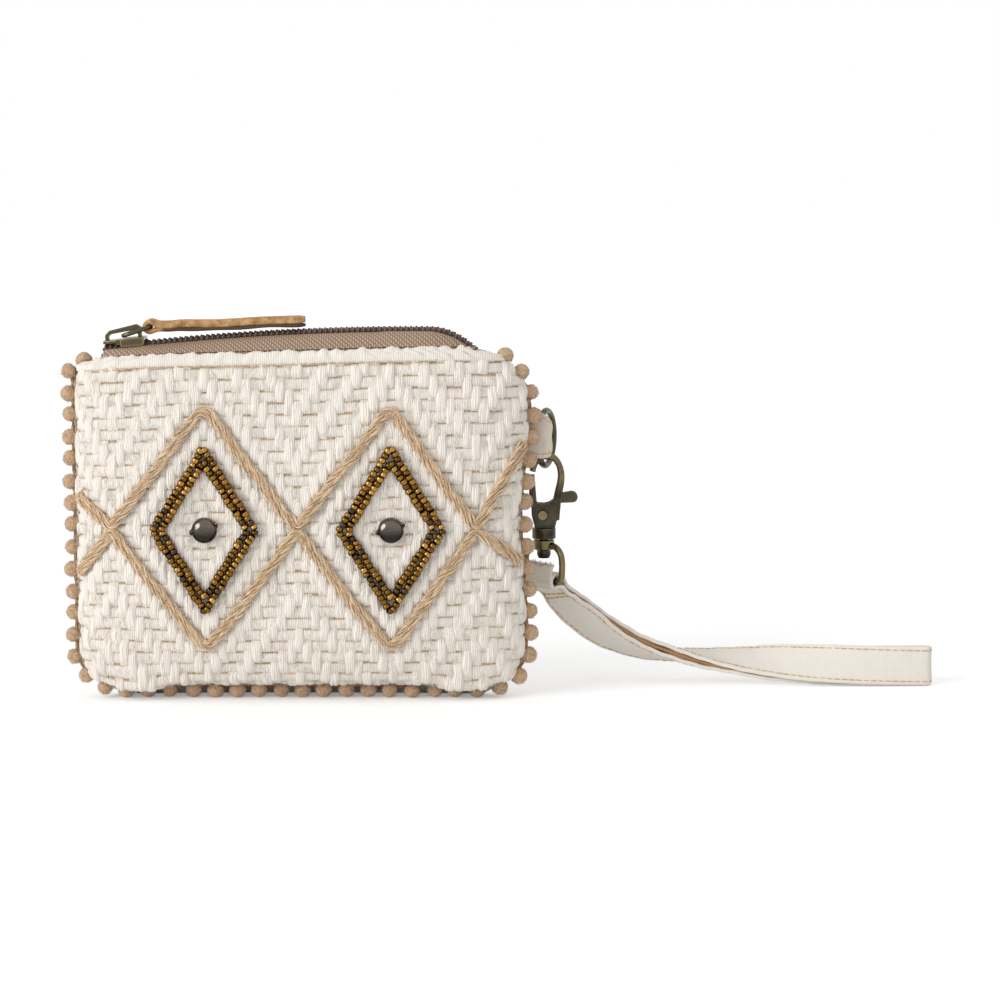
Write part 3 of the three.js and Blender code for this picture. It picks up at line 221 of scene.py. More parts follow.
def shell_faces(rows, columns):
    """Faces of a closed wall between an outer and an inner grid of points."""
    under = rows * columns
    faces = []
    for i in range(rows - 1):
        for j in range(columns - 1):
            a, b = i * columns + j, (i + 1) * columns + j
            faces += [(a, a + 1, b + 1, b), (under + a, under + b, under + b + 1, under + a + 1)]
    rim = list(range(columns - 1)) + [i * columns + columns - 1 for i in range(rows - 1)]
    rim += [(rows - 1) * columns + j for j in range(columns - 1, 0, -1)]
    rim += [i * columns for i in range(rows - 1, 0, -1)]
    return faces + [(a, under + a, under + b, b) for a, b in zip(rim, rim[1:] + rim[:1])]


def face_out(piece):
    """Turns a closed mesh right side out."""
    work = bmesh.new()
    work.from_mesh(piece.data)
    bmesh.ops.recalc_face_normals(work, faces=work.faces)
    work.to_mesh(piece.data)
    work.free()


def sheet_piece(name, points, columns, material):
    """A closed sheet with a thickness, from its outer and its inner grid of points."""
    piece = new_piece(name, points, shell_faces(len(points) // columns // 2, columns), material)
    face_out(piece)
    return piece


def panel_shell(name, side, insets, columns, rows, top, material):
    us, vs = panel_shares(columns, rows)
    grids = [pillow(side, u, v * top, inset) for inset in insets for v in vs for u in us]
    return sheet_piece(name, grids, len(us), material)


def in_mm(tree, attribute=None):
    """Places in mm for a pattern: those on the object, or those kept in an attribute that follows the cloth."""
    read = node(tree, "Attribute", attribute_name=attribute) if attribute else node(tree, "TexCoord")
    return node(tree, "VectorMath", {0: read.outputs["Vector" if attribute else "Object"], 3: 1000}, operation="SCALE")


def plain_weave(tree, place, pitch, depth):
    """A plain weave's bump and height: warp and weft cross over and under each other, pitch millimetres apart."""
    warp, weft = (node(tree, "TexWave", {"Vector": place, "Scale": WAVE_PERIOD / pitch, "Distortion": 0.6,
                       "Detail": 1.0, "Detail Scale": 2.0}, bands_direction=way) for way in "XZ")
    threads = node(tree, "Math", {0: warp.outputs["Fac"], 1: weft.outputs["Fac"]}, operation="MULTIPLY")
    return node(tree, "Bump", {"Strength": 0.6, "Distance": depth * MM, "Height": threads}), threads


def fit(piece, body, slot, *nodes):
    """Rides a piece on its body, in place of the nodes that it shows; its slot is not used."""
    if nodes:
        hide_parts(*nodes)
    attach(piece, body)


# Plain cotton sheeting: matt, with a fine even thread.
lining_cotton, tree, shader = new_material("plain_cotton_sheeting")
place = in_mm(tree)
bump, threads = plain_weave(tree, place, 0.8, 0.12)
blotch = node(tree, "TexNoise", {"Vector": place, "Scale": 0.08, "Detail": 3})
tone = node(tree, "Mix", {0: blotch, 6: srgb("d6ccbb"), 7: srgb("c6baa6")}, data_type="RGBA")
set_inputs(tree, shader, {"Base Color": tone, "Normal": bump, "Roughness": 0.9})

for face, side in FACES:
    lining = panel_shell(f"{face}_lining_cloth", side, LINING_INSETS, 40, 24, LINING_TOP, lining_cotton)
    fit(lining, "pouch", "lining_cotton", f"{face}_lining")


# Front panel: a thick cream cotton cloth, hand-woven in concentric diamonds.
# Soft bundles of yarn float over two picks at a time, and tan ground threads show in the slits between them.
COLUMN, ROW, COLUMNS, ROWS = 2.5, 3.57, range(-31, 32), range(-19, 18)
PATTERN_HALF_PITCH, PATTERN_MIDDLE = 27.5, 52.8
DIAMOND_COLUMNS, GROUND_INSET, PANEL_INSIDE, WEAVE_TOP = 22, 1.1, 2, 0.972
FLOAT_WIDTH, FLOAT_HEIGHT, FLOAT_OVERLAP = 3.25, 1.32, 0.8
WEFT_WIDTH, WEFT_HEIGHT, WEFT_OVERLAP = 3.42, 0.7, 2.6
NAP_HAIRS, NAP_GIRTH, CLOTH_WANDER = 14000, 0.055, 0.34


def mark(mesh, label, values, unit=1):
    """Keeps a number or a vector for every point, for a material or a node tree to read."""
    if isinstance(values[0], float):
        mesh.attributes.new(label, "FLOAT", "POINT").data.foreach_set("value", values)
    else:
        layer = mesh.attributes.new(label, "FLOAT_VECTOR", "POINT")
        layer.data.foreach_set("vector", [c * unit for value in values for c in value])


def run_lengths(line):
    """Distance along a line to each of its points."""
    lengths = [0]
    for a, b in zip(line, line[1:]):
        lengths.append(lengths[-1] + (b - a).length)
    return lengths


def grid_faces(rows, columns):
    """Faces of an open grid of points."""
    return [(a, a + columns, a + columns + 1, a + 1)
            for i in range(rows - 1) for a in range(i * columns, (i + 1) * columns - 1)]


# The weave is laid out flat and wrapped on this carrier, which knows its own flat measures: the distance from its
# middle column, and the height along that column.
us, vs = panel_shares(96, 56)
grid = [[pillow(-1, u, v * WEAVE_TOP, GROUND_INSET) for u in us] for v in vs]
middle = len(us) // 2
spine = [row[middle] for row in grid]
heights = run_lengths(spine)
level = next(i for i, point in enumerate(spine) if point.z > PATTERN_MIDDLE)
share = (PATTERN_MIDDLE - spine[level - 1].z) / (spine[level].z - spine[level - 1].z)
zero = heights[level - 1] + share * (heights[level] - heights[level - 1])
flat = []
for row, height in zip(grid, heights):
    lengths = run_lengths(row)
    flat += [(length - lengths[middle], height - zero, 0) for length in lengths]
carrier = new_piece("front_carrier", [p for row in grid for p in row],
                    [(a, d, c, b) for a, b, c, d in grid_faces(len(vs), len(us))])
mark(carrier.data, "flat", flat, MM)

# The ground cloth that carries the floats: tan and cream threads, mostly in shade.
ground_cloth, tree, shader = new_material("tan_ground_cloth")
bump, threads = plain_weave(tree, in_mm(tree), 0.7, 0.15)
tone = node(tree, "Mix", {0: threads, 6: srgb("be9f74"), 7: srgb("e0cdae")}, data_type="RGBA")
set_inputs(tree, shader, {"Base Color": tone, "Normal": bump, "Roughness": 0.95})
base = panel_shell("front_ground_cloth", -1, (GROUND_INSET, PANEL_INSIDE), 60, 40, 1, ground_cloth)
fit(base, "pouch", "cream_cotton", "front_panel")

# Cream cotton roving: soft unspun bundles, nearly white, with fine lengthwise yarns, painted shade in the grooves
# between them, and a dull sheen.
# The yarns wander sideways, and the bundles are painted tan where they dip low, a painted shade under their
# neighbours.
cream_roving, tree, shader = new_material("cream_cotton_roving")
place = in_mm(tree, "cloth")
parts = node(tree, "SeparateXYZ", {0: place}).outputs
spun = node(tree, "Mapping", {0: place, 3: (0.3, 0, 0.17)})
lean = node(tree, "TexNoise", {"Vector": spun, "Scale": 1, "Detail": 3})
turns = node(tree, "Math", {0: parts[0], 1: 4.9}, operation="MULTIPLY")
strayed = node(tree, "Math", {0: lean, 1: 9.0, 2: turns}, operation="MULTIPLY_ADD")
yarns = node(tree, "Math", {0: node(tree, "Math", {0: strayed}, operation="SINE")}, operation="ABSOLUTE")
fine = node(tree, "Mapping", {0: place, 3: (3.6, 0.9, 0.26)})
fluff = node(tree, "TexNoise", {"Vector": fine, "Scale": 1, "Detail": 3, "Roughness": 0.7})
relief = node(tree, "Math", {0: fluff, 1: 0.8, 2: yarns}, operation="MULTIPLY_ADD")
# Painted shade: a bundle is painted tan where it runs low and dips under its neighbours.
depth = node(tree, "MapRange", {0: parts[1], 1: 0.08, 2: 0.46})
# Painted shade: the grooves between the yarns are painted darker than their crowns.
groove_shade = node(tree, "MapRange", {0: relief, 1: 0.35, 2: 1.0})
yarns_shaded = node(tree, "Mix", {0: groove_shade, 6: srgb("dfd4c4"), 7: srgb("f2ece3")}, data_type="RGBA")
tone = node(tree, "Mix", {0: depth, 6: srgb("bf9f74"), 7: yarns_shaded}, data_type="RGBA")
bump = node(tree, "Bump", {"Strength": 0.8, "Distance": 0.13 * MM, "Height": relief})
set_inputs(tree, shader, {"Base Color": tone, "Normal": bump, "Roughness": 0.9, "Sheen Weight": 0.12})


def repeat_tree(wrapped):
    """Sets a unit on every point, with its own turn, size and seeded wobble, and may wrap them on a carrier."""
    tree = bpy.data.node_groups.new("set_out_units", "GeometryNodeTree")
    vector = {"data_type": "FLOAT_VECTOR"}
    for label, kind in (("Geometry", "Geometry"), ("Unit", "Object"), ("Finish", "Material"), ("Wobble", "Vector"),
                        ("Size spread", "Vector"), ("Seed", "Int"), ("Carrier", "Object"), ("Yarn depth", "Float"),
                        ("Wander", "Float")):
        tree.interface.new_socket(label, in_out="INPUT", socket_type="NodeSocket" + kind)
    tree.interface.new_socket("Geometry", in_out="OUTPUT", socket_type="NodeSocketGeometry")
    given = node(tree, "NodeGroupInput").outputs
    turn, size, cloth, flat = (node(tree, "GeometryNodeInputNamedAttribute", {0: label}, **vector)
                               for label in ("turn", "size", "cloth", "flat"))
    low = node(tree, "VectorMath", {0: given["Wobble"], 3: -1.0}, operation="SCALE")
    small, large = (node(tree, "VectorMath", {0: (1, 1, 1), 1: given["Size spread"]}, operation=way)
                    for way in ("SUBTRACT", "ADD"))
    tilt, grown, shade = (node(tree, "FunctionNodeRandomValue", {0: least, 1: most, "Seed": given["Seed"]}, **vector)
                          for least, most in ((low, given["Wobble"]), (small, large), ((0, 0, 0), (1, 1, 1))))
    turned = node(tree, "VectorMath", {0: turn, 1: tilt}, operation="ADD")
    sized = node(tree, "VectorMath", {0: size, 1: grown}, operation="MULTIPLY")
    told = node(tree, "GeometryNodeStoreNamedAttribute", {0: given["Geometry"], 2: "shade", 3: shade}, **vector)
    points = node(tree, "GeometryNodeMeshToPoints", {0: told})
    unit = node(tree, "GeometryNodeObjectInfo", {0: given["Unit"]}).outputs["Geometry"]
    copies = node(tree, "GeometryNodeInstanceOnPoints",
                  {"Points": points, "Instance": unit, "Rotation": turned, "Scale": sized})
    whole = node(tree, "GeometryNodeRealizeInstances", {0: copies})
    if wrapped:
        where = node(tree, "GeometryNodeInputPosition")
        kept = node(tree, "GeometryNodeStoreNamedAttribute", {0: whole, 2: "cloth", 3: where}, **vector)
        parts = node(tree, "SeparateXYZ", {0: cloth}).outputs
        shifts = []
        for grain, detail, amount in (((1450, 0, 120), 1.5, "Yarn depth"), ((170, 0, 260), 1, "Wander")):
            scaled = node(tree, "VectorMath", {0: cloth, 1: grain}, operation="MULTIPLY")
            pattern = node(tree, "TexNoise", {"Vector": scaled, "Scale": 1, "Detail": detail})
            either_way = node(tree, "MapRange", {0: pattern, 1: 0.25, 2: 0.75, 3: -1.0, 4: 1.0})
            shifts.append(node(tree, "Math", {0: either_way, 1: given[amount]}, operation="MULTIPLY"))
        height = node(tree, "Math", {0: parts[1], 1: shifts[0]}, operation="ADD")
        along = node(tree, "Math", {0: parts[0], 1: shifts[1]}, operation="ADD")
        spot = node(tree, "CombineXYZ", {0: along, 1: parts[2]})
        face = node(tree, "GeometryNodeObjectInfo", {0: given["Carrier"]}).outputs["Geometry"]
        found, out = (node(tree, "GeometryNodeSampleUVSurface", {0: face, 1: read, 2: flat, 3: spot}, **vector)
                      for read in (where, node(tree, "GeometryNodeInputNormal")))
        outward = node(tree, "VectorMath", {0: out}, operation="NORMALIZE")
        raised = node(tree, "VectorMath", {0: outward, 3: height}, operation="SCALE")
        laid = node(tree, "VectorMath", {0: found, 1: raised}, operation="ADD")
        off = node(tree, "FunctionNodeBooleanMath", {0: found.outputs["Is Valid"]}, operation="NOT")
        trimmed = node(tree, "GeometryNodeDeleteGeometry", {0: kept, 1: off})
        whole = node(tree, "GeometryNodeSetPosition", {0: trimmed, 2: laid})
    node(tree, "NodeGroupOutput", {0: node(tree, "GeometryNodeSetMaterial", {0: whole, 2: given["Finish"]})})
    return tree


UNITS_FREE, UNITS_ON_CLOTH = repeat_tree(False), repeat_tree(True)


def set_out(name, unit, places, finish, wobble=(0, 0, 0), spread=(0, 0, 0), seed=1,
            carrier=None, yarn=0.0, wander=0.0):
    """A mesh of copies of a unit. Each place is a point in mm, a turn in radians and a size."""
    source = new_piece(name, [place for place, turn, size in places], [])
    mark(source.data, "turn", [turn for place, turn, size in places])
    mark(source.data, "size", [size for place, turn, size in places])
    modifier = source.modifiers.new("units", "NODES")
    modifier.node_group = UNITS_ON_CLOTH if carrier else UNITS_FREE
    given = {item.name: item.identifier for item in modifier.node_group.interface.items_tree if item.in_out == "INPUT"}
    for label, value in (("Unit", unit), ("Finish", finish), ("Wobble", wobble), ("Size spread", spread),
                         ("Seed", seed), ("Carrier", carrier), ("Yarn depth", yarn * MM), ("Wander", wander * MM)):
        if value is not None:
            modifier[given[label]] = value
    bpy.context.view_layer.update()
    made = bpy.data.meshes.new_from_object(source.evaluated_get(bpy.context.evaluated_depsgraph_get()))
    bpy.data.meshes.remove(source.data)
    made.name = name
    made.shade_smooth()
    return new_object(name, made)


def bundle_unit(name, wide, long, side_power, end_power, end_drop):
    """A soft bundle of yarns, one wide, one high and one long, that rounds off to its sides and its ends."""
    points = []
    for k in range(long + 1):
        along = k / long - 0.5
        arch = 1 - end_drop * abs(2 * along) ** end_power
        for i in range(wide + 1):
            side = i / wide - 0.5
            crown = max(0, 1 - abs(2 * side) ** side_power) ** 0.5
            points.append((side * 1000, (crown * arch) * 1000, along * 1000))
    return new_piece(name, points, grid_faces(long + 1, wide + 1))


def runs(flags):
    """Start and length of each run of true flags."""
    found, start = [], None
    for i, flag in enumerate(list(flags) + [False]):
        if flag and start is None:
            start = i
        if not flag and start is not None:
            found.append((start, i - start))
            start = None
    return found


def weave_phase(column, row):
    """Where a thread crossing falls in the four-pick repeat of its diamond."""
    return (abs(column % DIAMOND_COLUMNS - DIAMOND_COLUMNS // 2) + abs(row)) % 4


floats, wefts = [], []
dice = random.Random(7)
for column in COLUMNS:
    for start, length in runs(weave_phase(column, row) < 2 for row in ROWS):
        middle = (ROWS[start] + (length - 1) / 2) * ROW
        floats.append(((column * COLUMN + dice.uniform(-0.2, 0.2), 0, middle + 0.35),
                       (0, dice.uniform(-0.05, 0.05), 0),
                       (FLOAT_WIDTH * MM, FLOAT_HEIGHT * MM, (length * ROW + FLOAT_OVERLAP) * MM)))
for row in ROWS:
    for start, length in runs(weave_phase(column, row) >= 2 for column in COLUMNS):
        middle = (COLUMNS[start] + (length - 1) / 2) * COLUMN
        wefts.append(((middle, 0, row * ROW + 0.2 + dice.uniform(-0.15, 0.15)), (0, dice.uniform(-0.03, 0.03), 0),
                      ((length * COLUMN + WEFT_OVERLAP) * MM, WEFT_HEIGHT * MM, WEFT_WIDTH * MM)))
float_unit = bundle_unit("float_bundle", 14, 9, 3.6, 3.8, 0.8)
weft_unit = bundle_unit("weft_bundle", 22, 6, 6, 3.0, 0.8)
weave = set_out("front_floats", float_unit, floats, cream_roving, (0, 0.03, 0), (0.12, 0.14, 0.07), 3, carrier, 0.19,
                CLOTH_WANDER)
picks = set_out("front_wefts", weft_unit, wefts, cream_roving, (0, 0, 0), (0.02, 0.15, 0.07), 5, carrier, 0.12,
                CLOTH_WANDER)

# Loose hairs lie over the bundles and across the slits.
fibre_unit = new_piece("loose_fibre", [(1000, 0, 0), (-500, 866, 0), (-500, -866, 0), (180, 120, 1000)],
                       [(0, 1, 3), (1, 2, 3), (2, 0, 3)])
hairs = []
for _ in range(NAP_HAIRS):
    place = (dice.uniform(-74, 74), dice.uniform(0.75, 1.3), dice.uniform(-56, 52))
    hairs.append((place, (dice.gauss(0, 0.1), dice.gauss(0, 0.3), 0),
                  (NAP_GIRTH * MM, NAP_GIRTH * MM, dice.uniform(1.6, 4.5) * MM)))
nap = set_out("front_nap", fibre_unit, hairs, cream_roving, seed=8, carrier=carrier, wander=CLOTH_WANDER)
for piece in (weave, picks, nap):
    fit(piece, "pouch", "cream_cotton", "front_panel")
for spare in (float_unit, weft_unit, carrier):
    bpy.data.objects.remove(spare)


# Rim: the top edge of the front cloth, turned in over the zip tape and left soft and lumpy.
# It is the same roving as the weave, which here runs along the mouth.
RIM_PROFILE = [(-3.3, -0.5), (-3.15, 0.2), (-2.7, 0.6), (-1.9, 0.85), (-0.9, 0.9), (0, 0.7), (0.55, 0.2), (0.8, -0.5),
               (0.7, -1.2), (0.2, -1.7), (-1, -1.9)]
RIM_STEPS = 240
rim_points, rim_wraps = [], []
for i in range(RIM_STEPS + 1):
    u = math.sin(math.pi / 2 * (2 * i / RIM_STEPS - 1))
    for rise, lift in RIM_PROFILE:
        place = pillow(-1, u, min(1, 1 + rise / PANEL_TALL), 0)
        lump = noise.fractal(Vector((place.x * 0.34, rise * 0.25, 7)), 0.6, 2.1, 3)
        grown = lift * (1 + 0.45 * lump) if lift > 0 else lift
        place += Vector((0.5 * u ** 9 * grown, -grown, max(0, rise) + 0.9 * lump * (rise > -2)))
        place.y = min(place.y, -0.2)
        rim_points.append(place)
        rim_wraps.append((place.x, 0.8, rise))
rim = new_piece("front_rim", rim_points, grid_faces(RIM_STEPS + 1, len(RIM_PROFILE)), cream_roving)
mark(rim.data, "cloth", rim_wraps, MM)
face_out(rim)
fit(rim, "pouch", "cream_cotton", "front_panel")


# Back panel: plain cream cotton canvas, cut to the same outline and left without ornament.
# It is fuller than the front, ripples softly and sags onto the ground behind the seam.
canvas, tree, shader = new_material("cream_cotton_canvas")
place = in_mm(tree)
bump, threads = plain_weave(tree, place, 0.75, 0.16)
slub = node(tree, "TexNoise", {"Vector": place, "Scale": 0.5, "Detail": 4, "Roughness": 0.7})
tone = node(tree, "Mix", {0: slub, 6: srgb("ded5c6"), 7: srgb("efeae1")}, data_type="RGBA")
shaded = node(tree, "Mix", {0: threads, 6: srgb("d3c8b6"), 7: tone}, data_type="RGBA")
set_inputs(tree, shader, {"Base Color": shaded, "Normal": bump, "Roughness": 0.88, "Sheen Weight": 0.1})
back = panel_shell("back_canvas", 1, (0, PANEL_INSIDE), 72, 52, 1, canvas)
for vertex in back.data.vertices:
    x, z = vertex.co.x / MM, vertex.co.z / MM
    ripple = noise.fractal(Vector((x * 0.03, z * 0.045, 3)), 0.7, 2.1, 3)
    fade = min(1, max(0, (vertex.co.y / MM - 4) / 8)) * min(1, max(0, (MOUTH_HEIGHT - 5 - z) / 14))
    vertex.co.y -= (0.45 + 0.75 * max(-0.6, min(0.6, ripple))) * fade * MM
fit(back, "pouch", "cream_cotton", "back_panel")


# Pompom trim: felted wool balls on a narrow brown braid, caught in the seam on three sides.
# The balls along the bottom are pressed flat by the pouch's weight, and the last on the left is tucked behind the rim.
POMPOM_RADIUS, POMPOM_PITCH, POMPOM_OUTSET, TRIM_END = 2.4, 6.63, 1.3, 166
FLAT_HALF, CORNER_LENGTH = SEAM_HALF_WIDTH - CORNER, math.pi / 2 * (CORNER + POMPOM_OUTSET)
LEFT_SWING, FUZZ_HAIRS, FUZZ_GIRTH = -0.6, 420, 0.06
BRAID_OUTSETS, BRAID_RADIUS, BRAID_STEPS = (-1.2, -0.5, 0.25), 0.5, 320
TRIM_NODES = ("trim_left", "trim_bottom", "trim_right")


def trim_point(distance, outset):
    """A point in X and Z beside the seam, measured from the middle of the bottom."""
    side, along = (1 if distance >= 0 else -1), abs(distance)
    corner_z, top_corner = SEAM_BOTTOM + CORNER, TOP_CORNER[side]
    side_length = MOUTH_HEIGHT - top_corner - corner_z
    if along <= FLAT_HALF:
        return distance, SEAM_BOTTOM - outset
    along -= FLAT_HALF
    if along <= CORNER_LENGTH:
        angle = along / CORNER_LENGTH * math.pi / 2
        radius = CORNER + outset
        swing = (waist(corner_z) if side > 0 else LEFT_SWING) * math.sin(angle) ** 2
        return side * (FLAT_HALF + radius * math.sin(angle)) + swing, corner_z - radius * math.cos(angle)
    along -= CORNER_LENGTH
    if along <= side_length:
        swing = waist(corner_z + along) if side > 0 else LEFT_SWING
        return side * (SEAM_HALF_WIDTH + outset) + swing, corner_z + along
    angle = (along - side_length) / (top_corner + POMPOM_OUTSET)
    radius = top_corner + outset
    z = MOUTH_HEIGHT - top_corner + radius * math.sin(angle)
    swing = (waist(z) if side > 0 else LEFT_SWING) * math.cos(angle)
    return side * (SEAM_HALF_WIDTH - top_corner + radius * math.cos(angle)) + swing, z


# Felted wool: matt tan fibres packed tight, with a soft pale edge where the light catches the fuzz.
felt, tree, shader = new_material("felted_tan_wool")
fibres = node(tree, "TexNoise", {"Vector": in_mm(tree), "Scale": 1.5, "Detail": 6, "Roughness": 0.75,
                                 "Distortion": 1.2})
ball = node(tree, "Attribute", attribute_name="shade").outputs["Fac"]
tufts = node(tree, "MapRange", {0: fibres, 1: 0.34, 2: 0.66})
tone = node(tree, "Mix", {0: tufts, 6: srgb("946842"), 7: srgb("f2d6b2")}, data_type="RGBA")
varied = node(tree, "Mix", {0: ball, 6: srgb("dab188"), 7: tone}, data_type="RGBA")
soft = node(tree, "Mix", {0: 0.55, 6: tone, 7: varied}, data_type="RGBA")
bump = node(tree, "Bump", {"Strength": 0.8, "Distance": 0.5 * MM, "Height": fibres})
set_inputs(tree, shader, {"Base Color": soft, "Normal": bump, "Roughness": 0.95, "Sheen Weight": 0.4,
                          "Sheen Roughness": 0.5})

# Each ball is a sphere with a lumpy, clipped surface.
work = bmesh.new()
bmesh.ops.create_icosphere(work, subdivisions=4, radius=1)
for vertex in work.verts:
    out = vertex.co.normalized()
    vertex.co = out * (1 + 0.06 * noise.fractal(out * 2.6 + Vector((4, 0, 0)), 0.7, 2.2, 4))
pompom = new_piece("pompom", [], [])
work.to_mesh(pompom.data)
work.free()
half_count = int(TRIM_END / POMPOM_PITCH)
balls = []
dice = random.Random(11)
for k in range(-half_count, half_count + 1):
    distance = k * POMPOM_PITCH
    tucked = k == -half_count
    lower = max(0, 1 - max(0, abs(distance) - 50) / 25)
    outset = POMPOM_OUTSET - 1.9 * tucked + 0.8 * lower + dice.uniform(-0.3, 0.2)
    x, z = trim_point(distance + dice.uniform(-0.4, 0.4) * (k != 0), outset)
    size = (POMPOM_RADIUS + dice.uniform(-0.16, 0.12)) * MM
    place = (x, dice.uniform(0, 0.8) + 1.8 * tucked, max(z - 1.3 * tucked, 1.95))
    turn = tuple(dice.uniform(0, 6.28) for _ in range(3))
    balls.append((place, turn, (size, size * dice.uniform(0.92, 1.05), size)))
trim = set_out("pompom_trim", pompom, balls, felt, seed=9)
bpy.data.objects.remove(pompom)
for vertex in trim.data.vertices:
    vertex.co.z = max(vertex.co.z, 0)
fit(trim, "pouch", "tan_wool", *TRIM_NODES)


def turn_to(way):
    """The turn that lays a unit's length along a direction."""
    return tuple(way.to_track_quat("Z", "Y").to_euler())


def any_way(dice):
    return Vector((dice.gauss(0, 1), dice.gauss(0, 1), dice.gauss(0, 1)))


# Loose fibres stand out of the wool all round, half a millimetre long.
hairs = []
dice = random.Random(23)
for place, turn, size in balls:
    for _ in range(FUZZ_HAIRS):
        out = any_way(dice).normalized()
        root = Vector(place) + out * size[0] / MM * 0.97
        if root.z < 0.5:
            continue
        lean = (out + 0.9 * any_way(dice)).normalized()
        hairs.append((root, turn_to(lean), (FUZZ_GIRTH * MM, FUZZ_GIRTH * MM, dice.uniform(0.3, 0.85) * MM)))
fuzz = set_out("pompom_fuzz", fibre_unit, hairs, felt, seed=2)
fit(fuzz, "pouch", "tan_wool", *TRIM_NODES)

# The braid is three plied cords side by side.
braid_cord, tree, shader = new_material("brown_plied_braid")
scaled = node(tree, "Mapping", {0: in_mm(tree, "cloth"), 3: (0.7, 0.7, 0.7)})
plies = node(tree, "TexWave", {"Vector": scaled, "Scale": WAVE_PERIOD, "Distortion": 1.0},
             bands_direction="DIAGONAL").outputs["Fac"]
tone = node(tree, "Mix", {0: plies, 6: srgb("84664a"), 7: srgb("b79873")}, data_type="RGBA")
bump = node(tree, "Bump", {"Strength": 0.9, "Distance": 0.25 * MM, "Height": plies})
set_inputs(tree, shader, {"Base Color": tone, "Normal": bump, "Roughness": 0.9})


def ring_faces(rings, around, closed):
    """Faces between rings of points, the last joined to the first where the run is closed."""
    faces = []
    for i in range(rings if closed else rings - 1):
        a, b = i * around, (i + 1) % rings * around
        faces += [(a + j, a + (j + 1) % around, b + (j + 1) % around, b + j) for j in range(around)]
    return faces


def tube(name, middles, radius, sides, material, closed=False, strand=0):
    """A round cord along points in mm. Its length, its girth and its strand's number are kept for the material."""
    count = len(middles)
    points, wraps = [], []
    length = 0
    up = Vector((0, 1, 0.01))
    for i, middle in enumerate(middles):
        after = middles[(i + 1) % count] if closed or i < count - 1 else middle
        before = middles[i - 1] if closed or i > 0 else middle
        along = (after - before).normalized()
        side = along.cross(up).normalized()
        lift = side.cross(along)
        length += (middle - before).length
        wide = radius[i] if isinstance(radius, list) else radius
        for j in range(sides):
            angle = 2 * math.pi * j / sides
            points.append(middle + wide * (math.cos(angle) * side + math.sin(angle) * lift))
            wraps.append((length, angle * wide, strand))
    faces = ring_faces(count, sides, closed)
    if not closed:
        faces += [tuple(range(sides - 1, -1, -1)), tuple(range((count - 1) * sides, count * sides))]
    piece = new_piece(name, points, faces, material)
    face_out(piece)
    mark(piece.data, "cloth", wraps, MM)
    return piece


def joined(name, pieces):
    """One mesh of several pieces."""
    bpy.ops.object.select_all(action="DESELECT")
    for piece in pieces:
        piece.select_set(True)
    bpy.context.view_layer.objects.active = pieces[0]
    bpy.ops.object.join()
    pieces[0].name = pieces[0].data.name = name
    return pieces[0]


cords = []
for k, outset in enumerate(BRAID_OUTSETS):
    line = []
    for i in range(BRAID_STEPS + 1):
        distance = (TRIM_END - 6) * (2 * i / BRAID_STEPS - 1)
        x, z = trim_point(distance, outset + 0.12 * math.sin(distance * 2.1 + k * 2))
        line.append(Vector((x, 0.22 * math.cos(distance * 2.1 + k * 2), z)))
    cords.append(tube(f"braid_{k}", line, BRAID_RADIUS, 6, braid_cord))
fit(joined("trim_braid", cords), "pouch", "tan_wool", *TRIM_NODES)


# Jute cords: loose two-ply twine, couched onto the weave in two zigzags that meet edge to edge.
# They frame each diamond and run out to the side seams, where their ends are tucked in.
JUTE_HALF_HEIGHT, JUTE_MEET, RIGHT_SHIFT = 36.4, 0.5, 2.6
JUTE_ENDS = {"upper": ((-66.4, 10.3), (67.2, 25.8)), "lower": ((-66.4, 14.9), (66.4, 11.3))}
JUTE_BENDS, JUTE_STEP = [0, 1.6, 4, 1.6, 4, 1.6, 0], 0.5
PLY_YARNS, PLY_TURN, PLY_ASIDE, PLY_CIRCLE, JUTE_HAIRS, JUTE_HAIR_GIRTH = 8, 8, 0.7, 0.54, 1500, 0.1


def front_face(x, z):
    """Depth of the front panel's face over a point of the pattern."""
    guess = (z - SEAM_BOTTOM) / PANEL_TALL
    u = x / row_half_width(guess, x)
    v = (z - SEAM_BOTTOM) / (mouth_top(u) - SEAM_BOTTOM)
    return -(SEAM_HALF_GAP + PANEL_DEPTH[-1] * across(u) * swell(v, MOUTH_HALF_DEPTH / PANEL_DEPTH[-1]))


def off_front(x, z, lift):
    """A point lifted off the front panel's face, with the face's normal there."""
    slope_x = front_face(x + 0.5, z) - front_face(x - 0.5, z)
    slope_z = front_face(x, z + 0.5) - front_face(x, z - 0.5)
    normal = Vector((slope_x, -1, slope_z)).normalized()
    return Vector((x, front_face(x, z), z)) + normal * lift, normal


def rounded_path(corners, closed, bends, pitch):
    """Points along straight legs with each corner bent, evenly spaced."""
    corners = [Vector(corner) for corner in corners]
    line = []
    for i, corner in enumerate(corners):
        if not closed and i in (0, len(corners) - 1):
            line.append(corner)
            continue
        start, stop = (corner + (other - corner).normalized() * bends[i]
                       for other in (corners[i - 1], corners[(i + 1) % len(corners)]))
        for k in range(7):
            t = k / 6
            line.append((1 - t) ** 2 * start + 2 * t * (1 - t) * corner + t ** 2 * stop)
    if closed:
        line.append(line[0])
    lengths = run_lengths(line)
    steps = max(2, round(lengths[-1] / pitch))
    even = []
    for k in range(steps if closed else steps + 1):
        target = lengths[-1] * k / steps
        i = max(1, next((n for n, d in enumerate(lengths) if d >= target), len(lengths) - 1))
        share = (target - lengths[i - 1]) / max(1e-9, lengths[i] - lengths[i - 1])
        even.append(line[i - 1].lerp(line[i], share))
    return even


def along_at(path, i):
    """Direction of an open path at one of its points."""
    return (path[min(len(path) - 1, i + 1)] - path[max(0, i - 1)]).normalized()


def between(values, place):
    """A value read off a list between two of its entries."""
    k, part = divmod(place, 1)
    return values[int(k)] * (1 - part) + values[int(k) + 1] * part


